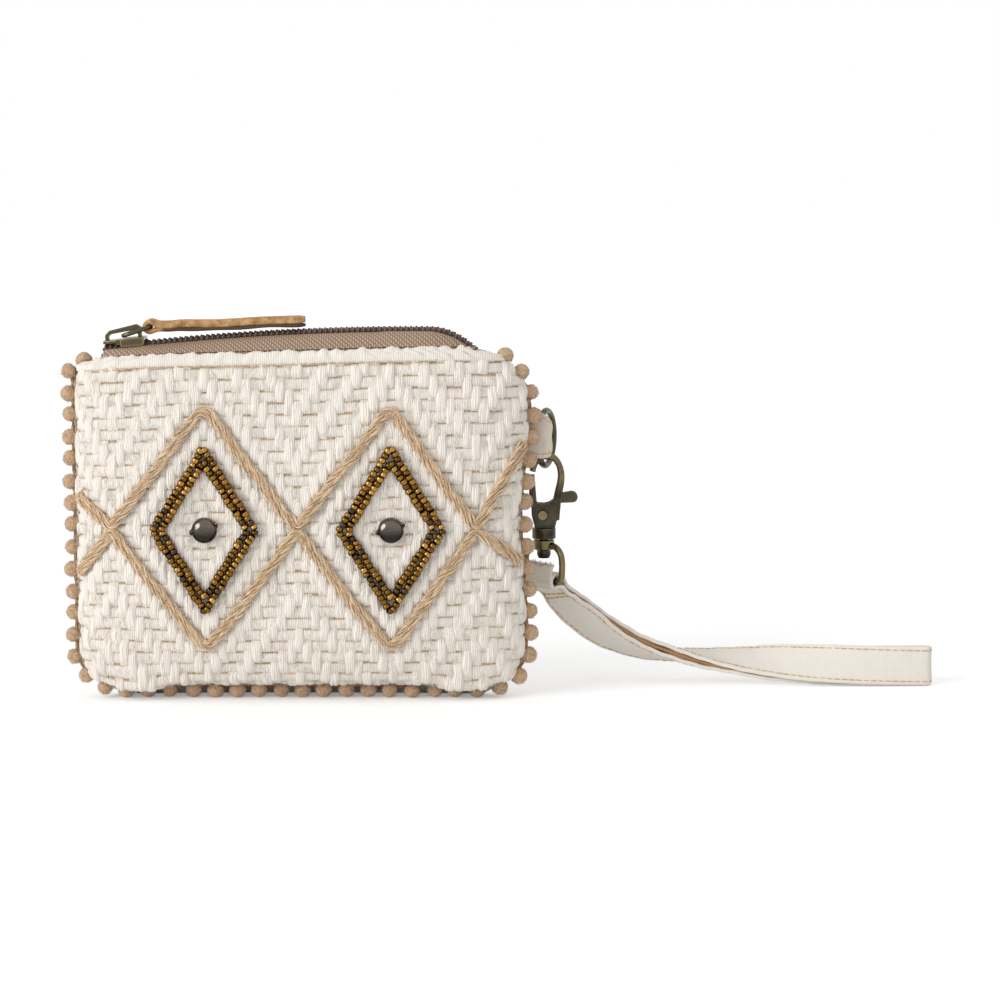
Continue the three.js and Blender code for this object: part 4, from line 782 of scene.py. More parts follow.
# Jute: coarse straw-coloured bast fibre, dull, with pale and dark strands and stray hairs.
jute_twine, tree, shader = new_material("jute_twine")
spun = node(tree, "Mapping", {0: in_mm(tree, "cloth"), 3: (0.17, 2.6, 5.3)})
strands = node(tree, "TexNoise", {"Vector": spun, "Scale": 1, "Detail": 3, "Roughness": 0.65})
bands = node(tree, "MapRange", {0: strands, 1: 0.3, 2: 0.7})
tone = node(tree, "Mix", {0: bands, 6: srgb("b08350"), 7: srgb("ffeaca")}, data_type="RGBA")
bump = node(tree, "Bump", {"Strength": 0.8, "Distance": 0.2 * MM, "Height": strands})
set_inputs(tree, shader, {"Base Color": tone, "Normal": bump, "Roughness": 0.85, "Sheen Weight": 0.15})

for name, side in (("upper", 1), ("lower", -1)):
    left_end, right_end = JUTE_ENDS[name]
    corners = [(k * PATTERN_HALF_PITCH - RIGHT_SHIFT * (k == 2), JUTE_HALF_HEIGHT if k % 2 else JUTE_MEET)
               for k in range(-2, 3)]
    path = rounded_path([(x, PATTERN_MIDDLE + side * rise) for x, rise in [left_end, *corners, right_end]], False,
                        JUTE_BENDS, JUTE_STEP)
    dice = random.Random(31 + side)
    drift = [dice.uniform(-1, 1) for _ in range(len(path) // 12 + 3)]
    yarns = []
    for yarn in range(2 * PLY_YARNS):
        ply, share = divmod(yarn, PLY_YARNS)
        spread = [dice.uniform(-0.34, 0.34) for _ in range(len(path) // 7 + 3)]
        line = []
        for i, place in enumerate(path):
            along = along_at(path, i)
            twist = 2 * math.pi * (i * JUTE_STEP / PLY_TURN + share / PLY_YARNS) + ply * 1.3
            stray = 0.3 * between(drift, i / 12) + between(spread, i / 7)
            aside = PLY_ASIDE * (2 * ply - 1) + PLY_CIRCLE * math.cos(twist) + stray
            tucked = max(0, 1 - min(i, len(path) - 1 - i) / 6)
            lift = 0.85 + 0.44 * math.sin(twist) - 2.2 * tucked ** 2
            line.append(off_front(place.x - along.y * aside, place.y + along.x * aside, lift)[0])
        girth = [0.24 + 0.08 * math.sin(i * 0.23 + yarn * 1.7) for i in range(len(line))]
        yarns.append(tube(f"jute_{name}_{yarn}", line, girth, 5, jute_twine, strand=yarn))
    twine = joined(f"jute_{name}_twine", yarns)
    hairs = []
    for _ in range(JUTE_HAIRS):
        i = dice.randrange(2, len(path) - 2)
        along = along_at(path, i)
        spot = path[i] + Vector((-along.y, along.x)) * dice.gauss(0, 0.85)
        root, normal = off_front(spot.x, spot.y, dice.uniform(0.7, 1.6))
        lean = along.to_3d().xzy * dice.choice((-1, 1)) + normal * dice.gauss(0.05, 0.14)
        lean += Vector((dice.gauss(0, 0.3), 0, dice.gauss(0, 0.3)))
        hairs.append((root, turn_to(lean),
                      (JUTE_HAIR_GIRTH * MM, JUTE_HAIR_GIRTH * MM, dice.uniform(1.2, 3.6) * MM)))
    loose = set_out(f"jute_{name}_fibres", fibre_unit, hairs, jute_twine, seed=4)
    for piece in (twine, loose):
        fit(piece, "pouch", "jute", f"jute_{name}")
bpy.data.objects.remove(fibre_unit)


# Bead rows: two strings of small bronze glass beads round each diamond, sewn down bead by bead.
# Every bead is a short tube with rounded ends, threaded along the string.
BEAD_HALF_WIDTH, BEAD_HALF_HEIGHT, BEAD_RADIUS, BEAD_PITCH = 16.5, 26.4, 1.06, 1.58
BEAD_FULLNESS, BEAD_LIFT = 1.07, 1.25
HANDS = (("left", -PATTERN_HALF_PITCH), ("right", PATTERN_HALF_PITCH))

# Metal-lined bronze glass: bright and golden on top, brown and almost purple in a few beads, with painted shade at
# each bead's ends.
bronze_glass, tree, shader = new_material("bronze_lined_glass")
bead = node(tree, "Attribute", attribute_name="shade").outputs["Vector"]
ramp = node(tree, "ValToRGB", {0: node(tree, "SeparateXYZ", {0: bead}).outputs[0]})
colours = ramp.color_ramp.elements
colours[0].color, colours[1].color = srgb("42300f"), srgb("bc924f")
for position, code in ((0.06, "4c3e38"), (0.14, "5a411b"), (0.7, "906a30")):
    colours.new(position).color = srgb(code)
# Painted shade: each bead's ends, at its hole and where it meets the next bead, are painted near-black.
end_shade = node(tree, "Attribute", attribute_name="bead_end_painted_shade").outputs["Fac"]
tone = node(tree, "Mix", {0: end_shade, 6: ramp, 7: srgb("140c05")}, data_type="RGBA")
set_inputs(tree, shader, {"Base Color": tone, "Metallic": 1, "Roughness": 0.17})


def turned_unit(name, profile, segments, closed):
    """A turned shape about Z from radius and height; closed joins the profile's end to its start."""
    count = len(profile)
    angles = [2 * math.pi * k / segments for k in range(segments)]
    points = [(r * math.cos(a) * 1000, r * math.sin(a) * 1000, z * 1000) for a in angles for r, z in profile]
    faces = []
    for k in range(segments):
        a, b = k * count, (k + 1) % segments * count
        for i in range(count if closed else count - 1):
            j = (i + 1) % count
            faces.append((a + i, b + i, b + j, a + j))
    piece = new_piece(name, points, faces)
    face_out(piece)
    return piece


bead_unit = turned_unit("bead", [(0.42, -0.56), (0.7, -0.7), (0.95, -0.44), (1.03, 0), (0.95, 0.44), (0.7, 0.7),
                                 (0.42, 0.56)], 12, True)
# The end rings are flagged for the painted shade at each bead's ends.
mark(bead_unit.data, "bead_end_painted_shade", [float(abs(v.co.z) > 0.5) for v in bead_unit.data.vertices])
apothem = BEAD_HALF_WIDTH * BEAD_HALF_HEIGHT / math.hypot(BEAD_HALF_WIDTH, BEAD_HALF_HEIGHT)
for hand, centre in HANDS:
    for row, label in enumerate(("outer", "inner")):
        share = 1 - (BEAD_RADIUS + row * (2 * BEAD_RADIUS + 0.1)) / apothem
        corners = [(centre + i * share * BEAD_HALF_WIDTH, PATTERN_MIDDLE + k * share * BEAD_HALF_HEIGHT)
                   for i, k in ((1, 0), (0, 1), (-1, 0), (0, -1))]
        path = rounded_path(corners, True, [0.6] * 4, BEAD_PITCH)
        dice = random.Random(f"{hand}{label}")
        places = []
        for i, place in enumerate(path):
            before, after = path[i - 1], path[(i + 1) % len(path)]
            along = (after - before).normalized()
            aside = Vector((-along.y, along.x)) * dice.uniform(-0.24, 0.24)
            spot = off_front(place.x + aside.x, place.y + aside.y, BEAD_LIFT + dice.uniform(-0.12, 0.12))[0]
            ahead = off_front(after.x, after.y, BEAD_LIFT)[0] - off_front(before.x, before.y, BEAD_LIFT)[0]
            places.append((spot, turn_to(ahead), (BEAD_FULLNESS * BEAD_RADIUS * MM,) * 3))
        string = set_out(f"beads_{label}_{hand}", bead_unit, places, bronze_glass, (0.28, 0.28, 0.28),
                         (0.1, 0.1, 0.16), 5)
        fit(string, "pouch", "bronze_bead", f"bead_row_{label}_{hand}")
bpy.data.objects.remove(bead_unit)


# Studs: polished gunmetal domes, one in each diamond, pressed from sheet.
# Each is held by two claws, pushed through the cloth beside it.
STUD_RADIUS, STUD_HEIGHT, STUD_LIFT, CLAW_ANGLES, CLAW_LEAN = 3.85, 2.65, 0.3, (0.45, 3.3), 0.75
STUD_PROFILE = [(0.001, 1), (0.22, 0.985), (0.42, 0.935), (0.6, 0.845), (0.76, 0.71), (0.88, 0.54), (0.96, 0.34),
                (0.995, 0.14), (1, 0.04), (0.985, 0), (0.9, -0.03), (0.001, -0.03)]
CLAW_PROFILE = [(0.001, -0.8), (0.16, -0.8), (0.17, 0), (0.1, 0.35), (0.001, 0.45)]

# Gunmetal: a dark nickel plate on steel, smooth enough to show the room, with painted shade where it faces the ground.
gunmetal, tree, shader = new_material("polished_gunmetal")
place = in_mm(tree)
wear = node(tree, "TexNoise", {"Vector": place, "Scale": 0.9, "Detail": 5, "Roughness": 0.7})
tone = node(tree, "Mix", {0: wear, 6: srgb("585049"), 7: srgb("7c726a")}, data_type="RGBA")
# Painted shade: the faces that turn down towards the ground are painted darker.
facing = node(tree, "SeparateXYZ", {0: node(tree, "NewGeometry").outputs["Normal"]})
upper = node(tree, "MapRange", {0: facing.outputs[2], 1: -0.25, 2: 0.3})
plate_shaded_below = node(tree, "Mix", {0: upper, 6: srgb("352f2c"), 7: tone}, data_type="RGBA")
dents = node(tree, "TexNoise", {"Vector": place, "Scale": 0.4, "Detail": 1})
bump = node(tree, "Bump", {"Strength": 1, "Distance": 0.5 * MM, "Height": dents})
rough = node(tree, "MapRange", {0: wear, 3: 0.08, 4: 0.2})
set_inputs(tree, shader, {"Base Color": plate_shaded_below, "Normal": bump, "Roughness": rough, "Metallic": 1})

for hand, x in HANDS:
    seat, normal = off_front(x, PATTERN_MIDDLE, STUD_LIFT)
    set_down = Matrix.Translation(seat * MM) @ normal.to_track_quat("Z", "Y").to_matrix().to_4x4()
    dome = turned_unit(f"stud_dome_{hand}", STUD_PROFILE, 40, False)
    dome.data.transform(set_down @ Matrix.Diagonal((STUD_RADIUS * MM, STUD_RADIUS * MM, STUD_HEIGHT * MM, 1)))
    claws = []
    for angle in CLAW_ANGLES:
        claw = turned_unit("claw", CLAW_PROFILE, 8, False)
        lean = Matrix.Translation((1.0, 0, 0.06)) @ Matrix.Rotation(CLAW_LEAN, 4, "Y")
        claw.data.transform(set_down @ Matrix.Scale(STUD_RADIUS * MM, 4) @ Matrix.Rotation(angle, 4, "Z") @ lean
                            @ Matrix.Diagonal((0.8, 1.5, 0.5, 1)))
        claws.append(claw)
    stud = joined(f"stud_{hand}_dome", [dome] + claws)
    stud.data.materials.append(gunmetal)
    fit(stud, "pouch", "gunmetal", f"stud_{hand}")


# Top stitching: a line of tan cotton thread just under the rim, front and back, tacked at its right-hand end.
# It holds the zip tape between the panel and the lining.
STITCH_DROP, STITCH_LEFT, STITCH_RIGHT, STITCH_STEPS = 3.4, -57.5, 40.5, 120

# Cotton thread: tan, dull, with the two tones of its plies.
tan_thread, tree, shader = new_material("tan_cotton_thread")
twist = node(tree, "TexNoise", {"Vector": in_mm(tree), "Scale": 5, "Detail": 2})
tone = node(tree, "Mix", {0: twist, 6: srgb("b08a58"), 7: srgb("d9b98c")}, data_type="RGBA")
set_inputs(tree, shader, {"Base Color": tone, "Roughness": 0.7})


def even_steps(low, high, count):
    return [low + (high - low) * i / count for i in range(count + 1)]


def stitch_places(line, length, gap, girth):
    """Stitches laid end to end along a line of points in mm."""
    lengths = run_lengths(line)
    places = []
    target = length / 2
    i = 1
    while target < lengths[-1]:
        while lengths[i] < target:
            i += 1
        share = (target - lengths[i - 1]) / (lengths[i] - lengths[i - 1])
        places.append((line[i - 1].lerp(line[i], share), turn_to(line[i] - line[i - 1]),
                       (girth * MM, girth * MM, length * MM)))
        target += length + gap
    return places


stitch_unit = turned_unit("stitch", [(0.001, -0.5), (0.3, -0.46), (0.48, -0.3), (0.5, 0), (0.48, 0.3), (0.3, 0.46),
                                     (0.001, 0.5)], 7, False)
rim_line = []
for x in even_steps(STITCH_LEFT, STITCH_RIGHT, STITCH_STEPS):
    u = x / row_half_width(0.97, x)
    rim_line.append(off_front(x, mouth_top(u) - STITCH_DROP + 0.2 * math.sin(x * 0.13), 0.45)[0])
tack = [off_front(39.5 - 0.9 * k, mouth_top(0.66) - 2.1 + 0.5 * k, 0.3)[0] for k in range(-2, 3)]
back_line = [pillow(1, u, 1 - STITCH_DROP / PANEL_TALL, -0.1) for u in even_steps(-0.86, 0.64, STITCH_STEPS)]
places = (stitch_places(rim_line, 2.3, 0.5, 0.34) + stitch_places(tack, 2.0, 0.2, 0.6)
          + stitch_places(back_line, 2.3, 0.5, 0.4))
top_stitch = set_out("top_stitching", stitch_unit, places, tan_thread, (0.08, 0.08, 0.08), (0.1, 0.1, 0.1), 12)
fit(top_stitch, "pouch", "jute")


# Zip: a brown coil zip. Its tapes are sewn under the rim and rise to the coil, which runs along a shallow arc.
# The two lips fold down into the mouth.
ZIP_RADIUS, ZIP_CREST_X = 750, 33
ZIP_CENTRE_Z = MOUTH_HEIGHT + 6.3 - ZIP_RADIUS
ZIP_LEFT, ZIP_RIGHT, ZIP_MIDDLE, END_CURL, DIVE_START = -58.6, 52.5, -5, -57.5, 39.1
LIP_FOOT, TAPE_KNEE, KNEE_DROP = 8.3, 4.9, 1.25
COIL_OUTER, TOOTH_PITCH, TOOTH_GAPS = 3.05, 1.6, ((ZIP_LEFT, -45), (25.8, 39.2))
SLIDER_PLACES, SLIDER_REACH, LIFT_FADE = (-51.3, 32.55), 6.5, 3


def coil_z(x):
    """Height of the coil's middle: it curls down at its left-hand end and dives into the seam at the other."""
    arc = ZIP_CENTRE_Z + math.sqrt(ZIP_RADIUS ** 2 - (x - ZIP_CREST_X) ** 2)
    if x < END_CURL:
        arc -= 0.9 * (x - END_CURL) ** 2
    return arc - 0.033 * (x - DIVE_START) ** 2 if x > DIVE_START else arc


def rim_at(x):
    """Depth and height of the mouth's rim."""
    u = max(-0.975, min(0.975, x / row_half_width(1, x)))
    return SEAM_HALF_GAP + MOUTH_HALF_DEPTH * across(u), mouth_top(u)


# Zip tape: brown polyester twill, dull, with a fine slanting rib.
zip_twill, tree, shader = new_material("brown_twill_tape")
place = in_mm(tree, "cloth")
ribs, rungs = (node(tree, "TexWave", {"Vector": place, "Scale": WAVE_PERIOD / pitch, "Distortion": 0.8},
                    bands_direction=way).outputs["Fac"] for pitch, way in ((0.8, "DIAGONAL"), (0.7, "X")))
grain = node(tree, "TexNoise", {"Vector": place, "Scale": 2.6, "Detail": 3, "Roughness": 0.8})
dots = node(tree, "Math", {0: ribs, 1: rungs}, operation="MULTIPLY")
threads = node(tree, "Math", {0: grain, 1: 0.45, 2: dots}, operation="MULTIPLY_ADD")
tone = node(tree, "Mix", {0: threads, 6: srgb("684f3f"), 7: srgb("ccb299")}, data_type="RGBA")
bump = node(tree, "Bump", {"Strength": 0.8, "Distance": 0.18 * MM, "Height": threads})
set_inputs(tree, shader, {"Base Color": tone, "Normal": bump, "Roughness": 0.85})


def tape_strip(name, side, xs, section, thickness):
    """A strip of tape: its section at each x runs from the foot to the coil edge."""
    tops, unders, wraps = [], [], []
    for x in xs:
        line = [Vector((x, side * y, z)) for y, z in section(x)]
        for i, (place, width) in enumerate(zip(line, run_lengths(line))):
            along = along_at(line, i)
            half = side * Vector((0, along.z, -along.y)) * thickness / 2
            half = half if half.z >= 0 else -half
            tops.append(place + half)
            unders.append(place - half)
            wraps.append((x, width, 0))
    piece = sheet_piece(name, tops + unders, len(tops) // len(xs), zip_twill)
    piece.data.set_sharp_from_angle(angle=0.9)
    mark(piece.data, "cloth", wraps * 2, MM)
    return piece


def lip_section(x):
    """Foot, slope, knee and flat of the tape, from the rim to the coil, lifted where the slider comes to rest."""
    rim_y, rim_z = rim_at(x)
    foot_y = max(COIL_OUTER, min(LIP_FOOT + 0.4, rim_y - 0.9))
    foot_z = rim_z + 0.75
    knee = min(TAPE_KNEE, foot_y - 0.2) if foot_y > 4 else foot_y
    lifted = max(0, min(1, max(1 - (abs(x - place) - SLIDER_REACH) / LIFT_FADE for place in SLIDER_PLACES)))
    knee_z = max(coil_z(x) - KNEE_DROP + 0.45 * lifted, foot_z)
    line = []
    for k in range(7):
        t = k / 6
        rise = t + 0.16 * math.sin(math.pi * t)
        line.append((foot_y + (knee - foot_y) * t, foot_z + (knee_z - foot_z) * rise))
    inner, inner_z = COIL_OUTER - 0.5, coil_z(x) - 0.75 + 0.2 * lifted
    return line + [(knee + (inner - knee) * t, knee_z + (inner_z - knee_z) * t) for t in (0.5, 1)]


def margin_section(x):
    """The fixed edge of the tape, sewn under the rim."""
    rim_y, rim_z = rim_at(x)
    inner = min(LIP_FOOT - 0.2, rim_y - 1.4)
    return [(rim_y - 0.5, rim_z - 1.2), (rim_y - 0.7, rim_z + 0.1), (rim_y - 1.1, rim_z + 0.35), (inner, rim_z + 0.3)]


def fit_lip(piece, face, part, slot, *nodes):
    """Fits a strip of the zip: hides the nodes that it shows and the zip's end on its side, and bakes its place into
    its mesh.
    """
    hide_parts(*nodes, f"zip_end_{part}")
    if part == "left":
        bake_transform(piece)
    else:
        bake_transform(piece)


for face, side in FACES:
    margin = tape_strip(f"{face}_tape_margin", side, even_steps(ZIP_LEFT + 1, ZIP_RIGHT - 1, 60), margin_section, 0.5)
    fit(margin, "pouch", "zip_tape", "zip_end_left", "zip_end_right")
    for part, low, high in (("left", ZIP_LEFT, ZIP_MIDDLE), ("right", ZIP_MIDDLE, ZIP_RIGHT)):
        tape = tape_strip(f"{face}_tape_{part}", side, even_steps(low, high, 44), lip_section, 0.6)
        fit_lip(tape, face, part, "zip_tape", f"{face}_tape")

# Zip coil: one brown nylon filament wound into teeth, 1.6 mm apart, on a filler cord through its loops.
# The teeth stand apart where the slider opens them, at both of its places.
nylon, tree, shader = new_material("brown_nylon_filament")
tooth = node(tree, "SeparateXYZ", {0: node(tree, "Attribute", attribute_name="shade").outputs["Vector"]})
tone = node(tree, "Mix", {0: tooth.outputs[1], 6: srgb("4a382e"), 7: srgb("6b5548")}, data_type="RGBA")
set_inputs(tree, shader, {"Base Color": tone, "Roughness": 0.38})

loop = []
for i in range(18):
    angle = 2 * math.pi * i / 18
    y, z = (math.copysign(abs(c) ** 0.7, c) for c in (math.cos(angle), math.sin(angle)))
    loop.append(Vector((0.25 * math.sin(angle), y, z)) * 1000)
tooth_unit = tube("tooth", loop, 380, 6, None, closed=True)
for face, side in FACES:
    for part, low, high in (("left", ZIP_LEFT + 0.4, ZIP_MIDDLE), ("right", ZIP_MIDDLE, ZIP_RIGHT)):
        places = []
        for k in range(-40, 40):
            x = ZIP_MIDDLE + (k + 0.5 + side * 0.25) * TOOTH_PITCH
            if not low < x < high:
                continue
            head = 0.95 if any(start < x < stop for start, stop in TOOTH_GAPS) else 0.25
            middle, half = (head + COIL_OUTER) / 2, (COIL_OUTER - head) / 2 - 0.3
            pitch = math.atan2(coil_z(x + 0.5) - coil_z(x - 0.5), 1)
            places.append(((x, side * middle, coil_z(x)), (0, -pitch, side * 0.14),
                           (0.9 * MM, half * MM, 0.78 * MM)))
        coil = set_out(f"{face}_coil_{part}", tooth_unit, places, nylon, seed=6)
        filler = [Vector((x, side * 1.9, coil_z(x) - 0.1)) for x in even_steps(low, high, 60)]
        core = tube(f"{face}_coil_core_{part}", filler, 0.62, 8, nylon)
        for piece in (coil, core):
            fit_lip(piece, face, part, "zip_coil", f"{face}_coil")
bpy.data.objects.remove(tooth_unit)


# Slider and pull link: die-cast antique brass, dark in the hollows and rubbed bright along the edges.
# The slider runs over the coil between two side walls. The link is a bent wire through its crown.
FLANGE_DROP, FLANGE_OUT = 1.25, 3.4
WALL_SIZE, WALL_X, WALL_Y, WALL_LIFT, WALL_PITCH = (7, 0.9, 2.4), -49.3, 4.35, 1.05, -0.1
LINK_PIVOT, LINK_BAR, LINK_HALF_WIDTH = Vector((-52.106, 0, 109.426)), Vector((-44.141, 0, 112.094)), 4.2

# Antique brass: brass under a brown-black patina, which wear takes off the edges and what the hand touches.
old_brass, tree, shader = new_material("antique_brass")
patina = node(tree, "TexNoise", {"Vector": in_mm(tree), "Scale": 0.2, "Detail": 4, "Roughness": 0.55})
hollows = node(tree, "AmbientOcclusion", {"Distance": 1.6 * MM}, samples=8, only_local=True)
edges = node(tree, "AmbientOcclusion", {"Distance": 0.5 * MM}, samples=8, only_local=True, inside=True)
rubbed = node(tree, "MapRange", {0: edges.outputs["AO"], 1: 0.9, 2: 0.55})
open_face = node(tree, "MapRange", {0: hollows.outputs["AO"], 1: 0.45, 2: 0.95})
spots = node(tree, "MapRange", {0: patina, 1: 0.36, 2: 0.7, 4: 0.24})
worn = node(tree, "Math", {0: open_face, 1: spots}, operation="MULTIPLY")
handled = node(tree, "Attribute", attribute_name="handled").outputs["Fac"]
fresh = node(tree, "MapRange", {0: patina, 1: 0.3, 2: 0.6, 3: 0.6})
polished = node(tree, "Math", {0: handled, 1: fresh}, operation="MULTIPLY")
edged = node(tree, "Math", {0: worn, 1: rubbed}, operation="MAXIMUM")
bright = node(tree, "Math", {0: edged, 1: polished}, operation="MAXIMUM")
dark = node(tree, "Mix", {0: patina, 6: srgb("212326"), 7: srgb("393733")}, data_type="RGBA")
tone = node(tree, "Mix", {0: bright, 6: dark, 7: srgb("94855f")}, data_type="RGBA")
rough = node(tree, "MapRange", {0: patina, 3: 0.16, 4: 0.34})
set_inputs(tree, shader, {"Base Color": tone, "Roughness": rough, "Metallic": 1})


def cast_copy(node_name, name, voxel, smooths):
    """A rounded brass casting in place of a node: its mesh merged, remeshed finely and smoothed."""
    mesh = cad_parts[node_name].data.copy()
    mesh.materials.clear()
    mesh.transform(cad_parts[node_name].matrix_world)
    work = bmesh.new()
    work.from_mesh(mesh)
    bmesh.ops.remove_doubles(work, verts=work.verts, dist=1e-6)
    work.to_mesh(mesh)
    work.free()
    piece = new_object(name, mesh)
    remesh = piece.modifiers.new("remesh", "REMESH")
    remesh.mode = "VOXEL"
    remesh.voxel_size = voxel * MM
    smooth = piece.modifiers.new("smooth", "SMOOTH")
    smooth.factor = 0.5
    smooth.iterations = smooths
    bpy.context.view_layer.update()
    made = bpy.data.meshes.new_from_object(piece.evaluated_get(bpy.context.evaluated_depsgraph_get()))
    piece.modifiers.clear()
    piece.data = made
    made.name = name
    made.shade_smooth()
    made.materials.clear()
    made.materials.append(old_brass)
    return piece


def fit_brass(piece, body, replaced, polish):
    """Fits a brass piece, and marks how far use has polished the patina off it at each of its points."""
    mark(piece.data, "handled", [polish(vertex.co / MM) for vertex in piece.data.vertices])
    fit(piece, body, "old_brass", replaced)


# The lower flange is pressed flat beside the coil, to let the tape through.
casting = cast_copy("slider_body", "slider_casting", 0.13, 5)
for vertex in casting.data.vertices:
    x, y, z = vertex.co / MM
    if abs(y) > FLANGE_OUT and -FLANGE_DROP < z - coil_z(x) < -0.4:
        vertex.co.z = (coil_z(x) - FLANGE_DROP) * MM
walls = []
for side in (-1, 1):
    work = bmesh.new()
    bmesh.ops.create_cube(work, size=1, matrix=Matrix.Diagonal((*(c * MM for c in WALL_SIZE), 1)))
    bmesh.ops.bevel(work, geom=work.edges[:], offset=0.3 * MM, segments=3, affect="EDGES")
    wall = new_piece("slider_wall", [], [], old_brass)
    work.to_mesh(wall.data)
    work.free()
    seat = Vector((WALL_X, side * WALL_Y, coil_z(WALL_X) + WALL_LIFT))
    wall.data.transform(Matrix.Translation(seat * MM) @ Matrix.Rotation(WALL_PITCH, 4, "Y"))
    walls.append(wall)
fit_brass(joined("slider_casting", [casting] + walls), "slider", "slider_body", lambda place: 0.3)

# The link's wire is bent into a rounded oblong and butted.
link_length = (LINK_BAR - LINK_PIVOT).length
ahead = (LINK_BAR - LINK_PIVOT) / link_length
bent = rounded_path([(0, -LINK_HALF_WIDTH), (link_length, -LINK_HALF_WIDTH), (link_length, LINK_HALF_WIDTH),
                     (0, LINK_HALF_WIDTH)], True, [2.2] * 4, 0.35)
link_line = [LINK_PIVOT + ahead * p.x + Vector((0, p.y, 0)) for p in bent]
fit_brass(tube("link_wire", link_line, 0.65, 12, old_brass, closed=True), "link", "pull_link", lambda place: 0.35)


# Leather pull: a strip of tan leather folded round the link, with its two layers glued and its edges left raw.
# The upper layer is the thicker, and its end is rounded off.
LEATHER_WIDTH, LEATHER_LENGTH, LEATHER_SLOPE = 6.5, 46, 0.04
FOLD_STEPS, FOLD_RADIUS = 19, 1.5
LEATHER_LANES = [-1, -0.93, -0.6, -0.2, 0.2, 0.6, 0.93, 1]

# Vegetable-tanned leather: blotched warm tan with a fine pebbled grain; the lower layer is painted dark brown, a
# painted shade under the upper layer.
tan_leather, tree, shader = new_material("tan_leather")
place = in_mm(tree)
grain = node(tree, "TexVoronoi", {"Vector": place, "Scale": 2.2})
stain = node(tree, "TexNoise", {"Vector": place, "Scale": 0.35, "Detail": 6, "Roughness": 0.7})
pile = node(tree, "TexNoise", {"Vector": place, "Scale": 4, "Detail": 3})
blots = node(tree, "MapRange", {0: stain, 1: 0.38, 2: 0.62})
tone = node(tree, "Mix", {0: blots, 6: srgb("946631"), 7: srgb("ecc28c")}, data_type="RGBA")
fuzzed = node(tree, "MapRange", {0: pile, 1: 0.3, 2: 0.6})
nappy = node(tree, "Mix", {0: fuzzed, 6: srgb("9c7345"), 7: tone}, data_type="RGBA")
# Painted shade: the lower layer, away from the fold, is painted dark brown as the shade under the upper layer.
under = node(tree, "Attribute", attribute_name="lower_layer_painted_shade").outputs["Fac"]
with_lower_shade = node(tree, "Mix", {0: under, 6: nappy, 7: srgb("4f392b")}, data_type="RGBA")
height = node(tree, "Math", {0: grain, 1: pile}, operation="ADD")
bump = node(tree, "Bump", {"Strength": 0.6, "Distance": 0.2 * MM, "Height": height})
set_inputs(tree, shader, {"Base Color": with_lower_shade, "Normal": bump, "Roughness": 0.75})

fold_angles = [math.radians(-60 - 240 * k / (FOLD_STEPS - 1)) for k in range(FOLD_STEPS)]
fold = [(FOLD_RADIUS * math.cos(angle), FOLD_RADIUS * math.sin(angle)) for angle in fold_angles]
top_run = [(x, 0.3 + 0.35 * math.sin(x * 0.22) * math.exp(-x / 26) - 0.25 * math.exp(-((x - 5.5) / 2.2) ** 2))
           for x in even_steps(2.4, LEATHER_LENGTH, 50)]
low_run = [(x, z - 1.6 + 0.12 * math.sin(x * 0.4)) for x, z in top_run]
outline = [Vector(place) for place in low_run[::-1] + fold + top_run]
slope = Matrix.Rotation(LEATHER_SLOPE, 2)
# The lower layer's points, away from the fold, are flagged for the painted shade under the upper layer.
leather_points, lower_shade_flags = [], []
for sheet in (1, -1):
    for i, place in enumerate(outline):
        along = along_at(outline, i)
        lower, upper = i < len(low_run), i >= len(low_run) + FOLD_STEPS
        thin = 0.5 if lower else 1.05 if upper else 0.75
        thin *= 1 - 0.2 * max(0, (place.x - LEATHER_LENGTH + 1.6) / 1.6)
        narrow = math.sqrt(max(0.04, 1 - max(0, (place.x - LEATHER_LENGTH + 2.6) / 2.62) ** 2))
        for lane in LEATHER_LANES:
            edge = 0.55 if abs(lane) == 1 else 1
            out = slope @ (place + sheet * thin * edge * Vector((-along.y, along.x)))
            leather_points.append(LINK_BAR + Vector((out.x, lane * narrow * LEATHER_WIDTH / 2, out.y)))
            lower_shade_flags.append(float(lower and place.x > 4))
leather = sheet_piece("leather_strip", leather_points, len(LEATHER_LANES), tan_leather)
mark(leather.data, "lower_layer_painted_shade", lower_shade_flags)
fit(leather, "pull", "tan_leather", "leather_pull")


# Side tab: a strip of the cream canvas, folded round the ring and sewn into the right-hand seam.
# It narrows towards the ring, and two rows of stitches run along its edges.
TAB_BOTTOM, TAB_TOP, TAB_LOOP_LOW, TAB_LOOP_HIGH, TAB_LEVELS = 72.2, 85.8, 73.2, 82.6, 14
TAB_LINE = [Vector(place) for place in (
    (66.2, 1.4), (67.4, 2.4), (69.4, 3.05), (72, 3.05), (73.8, 3.1), (74.7, 3.7), (74.95, 5.0), (74.95, 7.4),
    (74.5, 8.6), (73.4, 8.95), (71.2, 8.9), (69.3, 7.6), (67.9, 5.4), (66.6, 4.2))]


def tab_span(i):
    """Lower and upper edge of the tab at a point of its curve."""
    share = min(1, max(0, (i - 17) / 12))
    return TAB_BOTTOM + (TAB_LOOP_LOW - TAB_BOTTOM) * share, TAB_TOP + (TAB_LOOP_HIGH - TAB_TOP) * share


